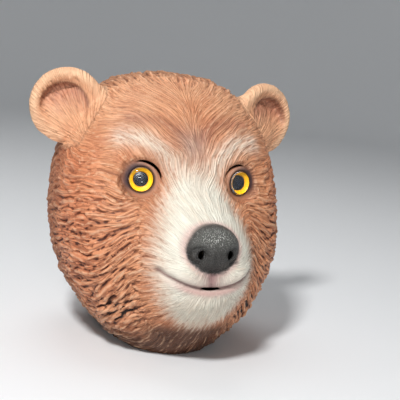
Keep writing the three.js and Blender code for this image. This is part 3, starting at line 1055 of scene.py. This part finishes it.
def tilted(points, angle):
    x, y, z = points.T
    c, s = math.cos(angle), math.sin(angle)
    return np.stack([x, y * c + z * s, z * c - y * s], 1)


sample = turned("sample", IRIS_SOLID, 20, face_frame(side=1, **EYE))
eye_y = tilted(points_of(sample.data), NOD)[:, 1]
remove(sample)
solid_low, solid_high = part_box("left_eye_iris")
SHIFT = np.array([0, (solid_low.y + solid_high.y) / 2 / MM - (eye_y.min() + eye_y.max()) / 2, EYE_HEIGHT])


def to_part(piece):
    set_points(piece.data, tilted(points_of(piece.data), NOD) + SHIFT)


to_part(skin)
to_part(dense)
cut(below_floor())
print("shift", SHIFT.round(2), "trimmed:", len(skin.data.polygons), "faces")


# %% Carry the relief over to the shell
def carry_tree():
    tree, given = new_tree("carry_relief", [("From", "Object"), ("Material", "Material")])
    source, shell = from_object(tree, given["From"]), given["Geometry"]
    for name, kind in (("lane", "FLOAT_VECTOR"), ("relief", "FLOAT")):
        shell = keep(tree, shell, name, on_surface(tree, source, named(tree, name, kind), kind), kind)
    far = add(tree, "GeometryNodeProximity", {0: source}, target_element="FACES").outputs["Distance"]
    return end_tree(tree, keep(tree, shell, "inside", far), given["Material"])


run_tree(skin, carry_tree(), From=dense, Material=latex)
remove(dense)
for name in ("flow", "rise", "height"):
    skin.data.attributes.remove(skin.data.attributes[name])
shade_smooth(skin)
print("shell carries", [a.name for a in skin.data.attributes if a.domain == "POINT"])

# %% [markdown]
# ## Airbrushed colour
# The real mask is sprayed in soft layers: tan all over, browner below and behind, cream on the muzzle and
# brows, mauve round the eyes and on the forehead, pink at the lips and charcoal on the nose. Painted shade is
# laid in with them: under the jaw and the nose, in the pits, grooves, ear dishes and cut openings, under the
# brows and the ear rims, on the lower lip and round the eyes. The nose also gets a painted sheen. Each layer
# below is a colour and a soft mask written as a formula, and they are laid over each other in order into one
# colour on each point.

# %% Places that the paint follows
def shade(red, green, blue):
    """A colour as seen on a screen, as light."""
    c = np.array([red, green, blue]) / 255
    return np.where(c < 0.04045, c / 12.92, ((c + 0.055) / 1.055) ** 2.4)


def band(path, radius):
    """Soft band round a path of places on both sides of the face."""
    here = np.stack([side_x, y, z], 1)
    best = np.full(len(here), 1e9)
    for a, b in zip(np.array(path[:-1], float), np.array(path[1:], float)):
        t = np.clip((here - a) @ (b - a) / ((b - a) @ (b - a)), 0, 1)
        best = np.minimum(best, np.linalg.norm(here - a - t[:, None] * (b - a), axis=1))
    return bell(best, radius)


points = tilted(points_of(skin.data) - SHIFT, -NOD)
x, y, z = points.T
side_x = np.abs(x)
eye_far, eye_turn, eye_depth = in_eye(points)
by_eye = np.abs(eye_depth) < 30
# Round the eyes: mauve paint, darker above and to the outer side; the dark part above the eye is painted shade
# under the brow.
upper_outer = ease(40, 130, eye_turn) + ease(-110, -165, eye_turn)
eye_shade = (0.42 + 0.56 * np.clip(upper_outer, 0, 1)) * np.where(eye_far < 16, 1, bell(eye_far - 16, 7))
lip, on_mouth = mouth_gap(points)
nose_far = from_nose(points)
nose_front = ease(-62, -68, y)
# Painted shade along the vertical grooves on the lower nose.
nose_groove_shade = np.maximum(bell(side_x - 3.4, 1.8), 0.8 * bell(side_x - 9, 1.7)) * ease(-62, -74, z)
hole, crease = nostril_forms(points, 5.0, 1.8)
ragged = 2 * value_of(skin.data, "relief") - 1
MUZZLE_HEIGHT = [-168, -150, -128, -100, -70, -40, -15, 5, 22, 40]
MUZZLE_WIDTH = [2, 26, 44, 56, 57, 48, 36, 27, 22, 16]
cream = ease(16, -13, side_x - np.interp(z, MUZZLE_HEIGHT, MUZZLE_WIDTH) - 7 * ragged) * ease(6, -22, y)
cream *= ease(-168, -142, z + 8 * ragged) * ease(46, 8, z - 10 * ragged)
# Darker under the jaw: brown paint, deepened with painted shade where the jaw faces down.
jaw = np.maximum(ease(-158, -188, z), ease(-148, -168, z) * ease(72, 30, side_x))
pits = blob(points, *PITS)
ear_rim, ear_dish, ear_front, rim_shadow = np.zeros((4, len(points)))
for _, _, u, w, h in at_ears(points):
    radius = np.hypot(u, w)
    here = (radius < 50) * ease(-18, -8, h)
    ear_front = np.maximum(ear_front, here * ease(50, 44, radius) * ease(-44, -24, u))
    ear_rim = np.maximum(ear_rim, here * ease(30, 36, radius) * ease(150, 90, degrees_from(20, u, w)))
    ear_dish = np.maximum(ear_dish, here * ear_hollow(u, w))
    # Painted shadow that the upper rim throws into the dish.
    under_rim = bell(from_dish(u, w) - EAR_DISH["edge"] + 2, 2.2)
    rim_shadow = np.maximum(rim_shadow, here * under_rim * ease(-14, 12, 0.45 * u + 0.9 * w))
print("cream covers", int((cream > 0.5).sum()), "points, ears", int((ear_front > 0.5).sum()))

# %% Spray the layers
ARCS = [(14, 2, 52), (30, 8, 66), (52, 14, 68), (72, 22, 68)]
BROWS = [(27, -12, 16), (38, -6, 34), (54, 2, 45), (82, 13, 47)]
LAYERS = [
    # name, colour, mask
    ("orange sides", (222, 134, 92), 0.5 * ease(85, 130, side_x) * ease(60, 20, z)),
    ("brown back", (190, 124, 88), 0.65 * ease(70, 150, y)),
    ("peach crown", (244, 190, 148), 0.35 * ease(75, 110, z) * ease(140, 80, y)),
    # brown paint under the jaw, with painted shade laid into it
    ("brown jaw and painted shade under it", (76, 47, 34), 0.88 * jaw),
    # painted shade in the low places of the pitted jowls
    ("painted shade in the pits", (58, 32, 24), 1.3 * ease(0.0, -0.4, ragged) * pits),
    ("peach brow", (240, 188, 148), 0.5 * blob(points, (70, 20, 80), (40, 50, 28))),
    ("mauve arcs", (162, 100, 80), 0.65 * band(ARCS, 8)),
    ("grey bridge", (186, 160, 148), 0.75 * blob(points, (0, -3, 40), (20, 30, 20))),
    ("cream muzzle", (239, 235, 219), cream),
    ("chin shade", (206, 196, 178), 0.6 * ease(-112, -135, z) * ease(60, 40, side_x) * cream),
    ("brow streaks", (242, 230, 212), (0.75 + 0.5 * ragged) * band(BROWS, 12)),
    # mauve ring round each eye, with painted shade under the brow
    ("eye ring and painted shade under the brow", (64, 43, 49), by_eye * eye_shade),
    # painted shade in the gap round each eye
    ("painted shade where the skin meets the eye", (52, 38, 38), by_eye * 0.85 * bell(eye_far - 14.8, 1.4)),
    ("lid", (226, 200, 188),
     by_eye * 0.2 * bell(eye_far - 18.0, 0.9) * ease(120, 90, eye_turn) * ease(-30, 5, eye_turn)),
    # pink paint on the lips, stronger on the lower lip as painted shade
    ("pink lips and painted shade on the lower lip", (194, 144, 138),
     on_mouth * ease(60, 24, side_x) * (0.75 * bell(lip + 5, 4.2) + 0.2 * bell(lip - 4, 5))),
    ("pink round the nose", (216, 168, 164),
     0.55 * ease(1.3, 1.04, nose_far) * ease(-56, -66, y) * ease(-104, -96, z)),
    ("mauve philtrum", (158, 124, 122),
     (0.45 * bell(x, 7) + 0.5 * bell(x, 18)) * ease(-88, -94, z) * ease(-112, -106, z) * ease(-60, -70, y)),
    ("charcoal nose", (64, 62, 59), ease(1.05, 0.97, nose_far) * nose_front),
    ("nose sheen", (120, 121, 115), 0.35 * ease(0.97, 0.85, nose_far) * ease(-70, -52, z) * nose_front),
    # painted shade in the grooves of the nose
    ("painted shade in the nose grooves", (46, 43, 42), 0.7 * nose_groove_shade * ease(1.0, 0.9, nose_far) * ease(-66, -72, y)),
    # painted shade on the lower part of the nose
    ("painted shade on the nose's underside", (44, 42, 41), 0.5 * ease(-78, -90, z) * ease(1.02, 0.96, nose_far) * nose_front),
    ("ear peach", (244, 186, 144), 0.8 * ear_front),
    ("ear rim", (250, 206, 166), 0.7 * ear_rim),
    # darker inside of the ear, with painted shade in the dish
    ("ear dish and painted shade in it", (176, 108, 88), 0.65 * ear_dish),
    # painted shadow under the ear rim
    ("painted shadow under the ear rim", (112, 66, 52), 0.75 * rim_shadow),
    ("mouth line", (112, 74, 72), on_mouth * 0.9 * bell(lip, 1.9) * ease(60, 50, side_x)),
    ("mouth corner", (104, 68, 66), 0.75 * mouth_corner(points, 3.4)),
    ("nostril shade", (24, 22, 22), 0.95 * ease(-66, -72, y) * np.maximum(hole, 0.7 * crease)),
]
inside = value_of(skin.data, "inside") / MM
lining = ease(0.4, 1.2, inside) * (1 - by_eye * (eye_far < 20) * (eye_depth > -3))
# Painted shade on the cut walls of the slits, nostrils and mouth, where the dark inside shows.
opening_shade = ease(0.15, 0.5, inside) * np.maximum.reduce([
    by_eye * (eye_far > 17.6) * (eye_far < 25) * (eye_turn > -20) * (eye_turn < 115),
    (np.hypot(side_x - NOSTRIL["x"], z - NOSTRIL["z"]) < 6) * (y < -60),
    (side_x < 13) * (np.abs(lip) < 4) * (y < -60),
])
# the lining's colour, and painted shade in the openings
LAYERS += [("lining", (214, 190, 160), lining), ("painted shade in the openings", (24, 18, 17), opening_shade)]
paint = np.tile(shade(222, 154, 112), (len(points), 1))
for name, colour, mask in LAYERS:
    paint += np.clip(mask, 0, 1)[:, None] * (shade(*colour) - paint)
store(skin.data, "paint", np.c_[paint, np.ones(len(paint))], "FLOAT_COLOR")
print("layers:", [name for name, _, _ in LAYERS])

# %% [markdown]
# Some numbers go to the finish beside the colour: where the nose and its glints are, where a dark wash lies,
# how deep the wash and the painted shade in the valleys go, and for the fine strands their turn, their place
# along the fur and how far apart they lie.

# %% Numbers for the finish
nose_mask = ease(1.05, 0.97, nose_far) * nose_front * (1 - lining)
smooth_skin = np.maximum(by_eye * ease(22, 17, eye_far), on_mouth * bell(lip + 1, 6))
wash = (1 - lining) * (1 - nose_mask) * (1 - smooth_skin)
bold = np.maximum(ease(56, 84, side_x) * ease(30, -10, z), ease(40, 90, y)) * (1 - ear_rim)
# Strength of the wash and of the painted shade in the valleys, softer on the upper face.
calmer = ease(-60, -5, z) * (0.5 - 0.25 * ease(20, 70, z)) * ease(140, 90, y)
deep = wash * (0.5 + 0.5 * bold + 0.5 * pits) * (1 - 0.6 * cream) * (1 - 0.45 * ear_front) * (1 - calmer)
turn, start = strand_field(points)
strand_far = 1 / np.maximum(np.linalg.norm(turn_change(points), axis=1), 1e-4)
for _, _, u, w, h in at_ears(points):
    leaf = (np.hypot(u, w) < 47) & (u > -34) & (h > -12)
    su, sw = u[leaf] + EAR_SPOKES["u"], w[leaf] + EAR_SPOKES["w"]
    turn[leaf] = np.arctan2(sw, su)
    start[leaf] = strand_far[leaf] = np.hypot(sw, su)
on_muzzle = fur_zones(points)[0]
strand = np.stack([np.cos(turn), np.sin(turn), start * (1 + 0.8 * on_muzzle)], 1)
store(skin.data, "strand", strand, "FLOAT_VECTOR")
for name, value in {
    "nose": nose_mask,
    "glint": nose_mask * (0.2 + 0.8 * bell(x, 15)) * bell(z + 53, 8),
    "wash": wash * (1 - 0.5 * cream) * (1 - 0.25 * ear_front),
    "deep": np.clip(deep, 0, 1),
    "strand_far": strand_far * (1 - 0.35 * bold) * (1 + 0.3 * on_muzzle),
    "strand_share": np.maximum(1 - ease(60, 100, y), ear_front),
}.items():
    store(skin.data, name, value)
    print(name, "mean", value.mean().round(3))

# %% [markdown]
# ## Painted latex
# Latex is satin, with a fine grain from the mould. The material takes the sprayed colour and mottles it a
# little, draws thin dark seams between fine strands as wash and painted shade, darkens the valleys with wash
# and painted shade, and brightens the crests with dry brushing and painted highlights. The nose is glossier and
# has painted glints of pale grey, so its mask also drives roughness and a pebbled bump.

# %% Helpers for materials
def attribute(tree, name, output="Fac"):
    return add(tree, "ShaderNodeAttribute", attribute_name=name).outputs[output]


def ramp(tree, value, low, high, start=0.0, end=1.0):
    return add(tree, "ShaderNodeMapRange", {
        "Value": value, "From Min": low, "From Max": high, "To Min": start, "To Max": end,
    }, interpolation_type="SMOOTHSTEP").outputs[0]


def blend(tree, factor, one, two, way="MIX"):
    return add(tree, "ShaderNodeMix", {0: factor, 6: one, 7: two}, data_type="RGBA", blend_type=way).outputs[2]


def noise(tree, where, scale, detail=3.0):
    return add(tree, "ShaderNodeTexNoise", {"Vector": where, "Scale": scale, "Detail": detail}).outputs["Fac"]


def object_place(tree):
    return add(tree, "ShaderNodeTexCoord").outputs["Object"]


def tint(*colour):
    return (*shade(*colour), 1)


def painted(material, roughness):
    """Gives a material its nodes, and returns its tree and its shader's inputs."""
    material.use_nodes = True
    sockets = material.node_tree.nodes["Principled BSDF"].inputs
    sockets["Roughness"].default_value = roughness
    return material.node_tree, sockets


print("cream as light:", [round(float(v), 3) for v in tint(239, 235, 219)])

# %% Latex material
STRAND_WIDTH, STRAND_LENGTH = 2.4, 30.0


def fine_strands(tree):
    """Fine strands along the fur. Their number doubles as they spread out, so that they stay slender."""
    where = add(tree, "ShaderNodeSeparateXYZ", {"Vector": attribute(tree, "strand", "Vector")}).outputs
    octave = calc(tree, "LOGARITHM", calc(tree, "DIVIDE", attribute(tree, "strand_far"), STRAND_WIDTH), 2.0)
    whole = calc(tree, "FLOOR", octave)
    made = []
    for more in (0.0, 1.0):
        count = calc(tree, "POWER", 2.0, calc(tree, "ADD", whole, more))
        spot = add(tree, "ShaderNodeCombineXYZ", {
            "X": times(tree, where["X"], count), "Y": times(tree, where["Y"], count),
            "Z": calc(tree, "DIVIDE", where["Z"], STRAND_LENGTH)}).outputs[0]
        made.append(noise(tree, spot, 1.0, 0.7))
    even = blend(tree, calc(tree, "SUBTRACT", octave, whole), *made)
    lane = attribute(tree, "lane", "Vector")
    combed = add(tree, "ShaderNodeMapping", {"Vector": lane, "Scale": (1.0, 0.09, 3.0)}).outputs[0]
    return blend(tree, attribute(tree, "strand_share"), noise(tree, combed, 500.0, 0.7), even)


def finish_latex():
    tree, sockets = painted(latex, 0.5)
    where = object_place(tree)
    relief, wash, deep, on_nose, glint = (
        attribute(tree, name) for name in ("relief", "wash", "deep", "nose", "glint"))
    mottle = noise(tree, where, 45.0)
    seam = calc(tree, "ABSOLUTE", calc(tree, "SUBTRACT", fine_strands(tree), 0.5))
    # Seams between fine strands: dark wash and painted shade.
    dark = calc(tree, "ADD", times(tree, wash, 0.17), times(tree, deep, 0.43))
    pebble = add(tree, "ShaderNodeTexVoronoi", {"Vector": where, "Scale": 620.0}).outputs["Distance"]
    # Painted glints: pale dots on the pebbled nose, in a band across its upper part.
    glint_dots = times(tree, ramp(tree, pebble, 0.5, 0.2), ramp(tree, noise(tree, where, 160.0), 0.36, 0.5))
    colour = attribute(tree, "paint", "Color")
    for share, other, way in (
        (times(tree, wash, ramp(tree, mottle, 0.35, 0.7, 0.0, 0.25)), tint(200, 130, 96), "MULTIPLY"),
        # seams between fine strands: wash and painted shade
        (times(tree, ramp(tree, seam, 0.09, 0.02), dark), (0.27, 0.17, 0.135, 1), "MULTIPLY"),
        # valleys: wash and painted shade
        (times(tree, ramp(tree, relief, 0.43, 0.15), deep), (0.16, 0.09, 0.075, 1), "MULTIPLY"),
        # crests: dry brushing and painted highlight
        (times(tree, times(tree, ramp(tree, relief, 0.56, 0.95), wash), 0.4), tint(252, 208, 170), "MIX"),
        # painted glints on the nose
        (times(tree, times(tree, glint_dots, glint), 0.75), tint(236, 236, 228), "MIX"),
    ):
        colour = blend(tree, share, colour, other, way)
    tree.links.new(colour, sockets["Base Color"])
    rough = calc(tree, "MULTIPLY_ADD", on_nose, -0.22, ramp(tree, mottle, 0.2, 0.8, 0.5, 0.66))
    tree.links.new(rough, sockets["Roughness"])
    sockets["Specular IOR Level"].default_value = 0.4
    combed = times(tree, ramp(tree, seam, 0.0, 0.2), calc(tree, "MULTIPLY_ADD", wash, 0.9, 0.1))
    bumps = blend(tree, on_nose, combed, pebble)
    bump = add(tree, "ShaderNodeBump", {"Strength": 0.65, "Distance": 0.002, "Height": bumps})
    tree.links.new(bump.outputs[0], sockets["Normal"])


finish_latex()
print("latex nodes:", len(latex.node_tree.nodes))

# %% [markdown]
# ## Eyes
# Each eye is a yellow dish with a painted shadow line round its edge, a black pupil sunk in it and a clear
# dome. All three are turned shapes, so each comes from one profile. The solids of the frame have few sides, and
# these replace them with round ones in the same place.

# %% Turn the eyes
def rounded(profile, size=0.12):
    """Cuts each corner off the axis with two points, so that it catches a highlight."""
    profile = np.asarray(profile, float)
    made = [profile[0]]
    for before, here, after in zip(profile[:-2], profile[1:-1], profile[2:]):
        for other in (before, after):
            gap = np.linalg.norm(other - here)
            made.append(here + (other - here) * min(size / gap, 0.4))
    return np.array(made + [profile[-1]])


cap = [(13.3 * math.sin(t), 0.4 + 4.8 * math.cos(t)) for t in np.radians(np.linspace(0, 90, 19))]
EYE_PROFILES = {
    "eye_iris": rounded([
        (0, -5), (8.1, -5), (8.1, -3.5), (9.6, -3.15), (11.2, -2.4), (12.6, -1.4), (13.6, -0.5), (13.7, 0.8),
        (14.45, 0.9), (14.5, -6.2), (0, -6.2)]),
    "eye_pupil": rounded([
        (0, -2.9), (2.6, -2.96), (5.2, -3.14), (7.4, -3.42), (7.8, -3.6), (7.8, -4.7), (0, -4.7)]),
    "eye_dome": [*cap, (13.3, -0.3), (11.2, -1.9), (8.1, -3.0), (0, -2.55)],
}
eyes = {}
for side, word in ((-1, "right"), (1, "left")):
    for kind, profile in EYE_PROFILES.items():
        made = outward(turned(f"{word}_{kind}_turned", profile, 72, face_frame(side=side, **EYE)))
        store(made.data, "span", in_eye(points_of(made.data))[0] / EYE_RADIUS)
        to_part(made)
        shade_smooth(made)
        made.data.set_sharp_from_angle(angle=math.radians(40))
        eyes[f"{word}_{kind}"] = made
print("eye pieces:", sorted(eyes))


# %% Eye materials
def iris_finish():
    material = bpy.data.materials.new("eye_iris_yellow")
    tree, sockets = painted(material, 0.45)
    sockets["Specular IOR Level"].default_value = 0.2
    span = attribute(tree, "span")
    fleck = ramp(tree, noise(tree, object_place(tree), 700.0), 0.45, 0.7)
    colour = blend(tree, ramp(tree, span, 0.56, 0.7), tint(196, 134, 5), tint(218, 164, 8))
    colour = blend(tree, ramp(tree, span, 0.82, 0.93), colour, tint(186, 122, 5))
    colour = blend(tree, times(tree, fleck, 0.18), colour, tint(236, 170, 20))
    # painted shadow line round the edge of the dish
    colour = blend(tree, ramp(tree, span, 0.925, 0.945), colour, tint(52, 26, 16))
    tree.links.new(colour, sockets["Base Color"])
    return material


def pupil_finish():
    material = bpy.data.materials.new("eye_pupil_black")
    tree, sockets = painted(material, 0.16)
    middle = ramp(tree, attribute(tree, "span"), 0.1, 0.5)
    colour = blend(tree, middle, (0.014, 0.017, 0.026, 1), (0.005, 0.006, 0.009, 1))
    tree.links.new(colour, sockets["Base Color"])
    return material


def dome_finish():
    material = bpy.data.materials.new("eye_dome_clear")
    tree, sockets = painted(material, 0.02)
    sockets["Base Color"].default_value = (1, 1, 1, 1)
    sockets["Transmission Weight"].default_value = 1.0
    sockets["IOR"].default_value = 1.25
    scuff = noise(tree, object_place(tree), 260.0)
    tree.links.new(ramp(tree, scuff, 0.5, 0.8, 0.01, 0.05), sockets["Roughness"])
    return material


EYE_FINISHES = {"eye_iris": iris_finish(), "eye_pupil": pupil_finish(), "eye_dome": dome_finish()}
for node, piece in eyes.items():
    kind = node.split("_", 1)[1]
    piece.data.materials.append(EYE_FINISHES[kind])
    piece.visible_shadow = kind != "eye_dome"
print("eye finishes:", sorted(EYE_FINISHES))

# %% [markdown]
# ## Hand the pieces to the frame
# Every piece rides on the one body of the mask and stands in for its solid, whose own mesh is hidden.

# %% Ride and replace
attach(skin, "root")
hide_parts("head_skin")
for node, piece in eyes.items():
    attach(piece, "root")
    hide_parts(node)
print("pieces:", 1 + len(eyes), "skin triangles:", triangles_of(skin.data))

# %% [markdown]
# ## Studio
# The floor and the wall all round are one pale bowl with a wide bend, so that no line runs behind the head
# from any side. The main light stands in front to the left and above. A weaker one behind the camera fills
# the shadows and shows as a glint in the eyes, and a wide one above and behind the head lights its edges. The
# camera looks at the eyes from the photograph's side, with its slight roll.

# %% Floor and backdrop
def bowl(floor=2.6, bend=1.4, height=3.4, sectors=96, steps=24):
    turn = np.linspace(0, np.pi / 2, steps)
    radius = np.concatenate([[0.6, 1.6], floor + bend * np.sin(turn), [floor + bend]])
    level = np.concatenate([[0, 0], bend - bend * np.cos(turn), [height]])
    round_turn = 2 * np.pi * np.arange(sectors) / sectors
    rings = [(r * math.cos(t), r * math.sin(t), h) for r, h in zip(radius, level) for t in round_turn]
    at = lambda i, j: 1 + i * sectors + j % sectors
    faces = [(0, at(0, j), at(0, j + 1)) for j in range(sectors)]
    faces += [(at(i, j), at(i + 1, j), at(i + 1, j + 1), at(i, j + 1))
              for i in range(len(radius) - 1) for j in range(sectors)]
    return mesh_piece("studio_bowl", np.vstack([(0, 0, 0), rings]) / MM, faces)


backdrop = bowl()
shade_smooth(backdrop)
paper = bpy.data.materials.new("studio_paper")
painted(paper, 0.9)[1]["Base Color"].default_value = (0.88, 0.89, 0.9, 1)
backdrop.data.materials.append(paper)
print("backdrop faces:", len(backdrop.data.polygons))


# %% Camera
VIEW = dict(azimuth=-24, elevation=10, roll=6.2)
FOCUS, DISTANCE, SEEN_AT, PICTURE, SENSOR = 1000, 1.130, (190.5, 181.0), 400, 36


def camera_axes(azimuth, elevation, roll):
    a, e, r = (math.radians(v) for v in (azimuth, elevation, roll))
    back = Vector((math.sin(a) * math.cos(e), -math.cos(a) * math.cos(e), math.sin(e)))
    right = Vector((0, 0, 1)).cross(back).normalized()
    up = back.cross(right)
    return right * math.cos(r) + up * math.sin(r), up * math.cos(r) - right * math.sin(r), back


across, upward, back = camera_axes(**VIEW)
boxes = [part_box(f"{word}_eye_iris") for word in ("left", "right")]
between_eyes = sum((low + high for low, high in boxes), Vector()) / 4
beside = (SEEN_AT[0] - PICTURE / 2) / FOCUS * DISTANCE
above = -(SEEN_AT[1] - PICTURE / 2) / FOCUS * DISTANCE
lens = bpy.data.cameras.new("camera")
lens.sensor_width = SENSOR
lens.lens = SENSOR * FOCUS / PICTURE
camera = bpy.data.objects.new("camera", lens)
bpy.context.collection.objects.link(camera)
turn = Matrix((across, upward, back)).transposed().to_4x4()
spot = between_eyes + back * DISTANCE - across * beside - upward * above
camera.matrix_world = Matrix.Translation(spot) @ turn
bpy.context.scene.camera = camera
print("camera at", [round(v, 3) for v in camera.matrix_world.translation])


# %% Lights
def soft_light(name, place, size, power, aim=(0, -0.05, 0.16)):
    lamp = bpy.data.lights.new(name, "AREA")
    lamp.shape = "DISK"
    lamp.size = size
    lamp.energy = power
    light = bpy.data.objects.new(name, lamp)
    light.location = place
    light.rotation_euler = (Vector(aim) - Vector(place)).to_track_quat("-Z", "Y").to_euler()
    bpy.context.collection.objects.link(light)


soft_light("key", (-0.98, -1.12, 1.8), 0.34, 43)
soft_light("fill", (-0.45, -1.81, 0.5), 0.28, 4)
soft_light("top", (0.1, 0.7, 1.8), 1.2, 8)
bpy.context.scene.view_settings.view_transform = "Standard"
world = bpy.data.worlds.new("studio_air")
world.use_nodes = True
air = world.node_tree.nodes["Background"].inputs
air["Color"].default_value = (0.9, 0.95, 1.0, 1)
air["Strength"].default_value = 0.1
bpy.context.scene.world = world
print("lights:", [light.name for light in bpy.data.lights])

# %% Update the scene
bpy.context.view_layer.update()
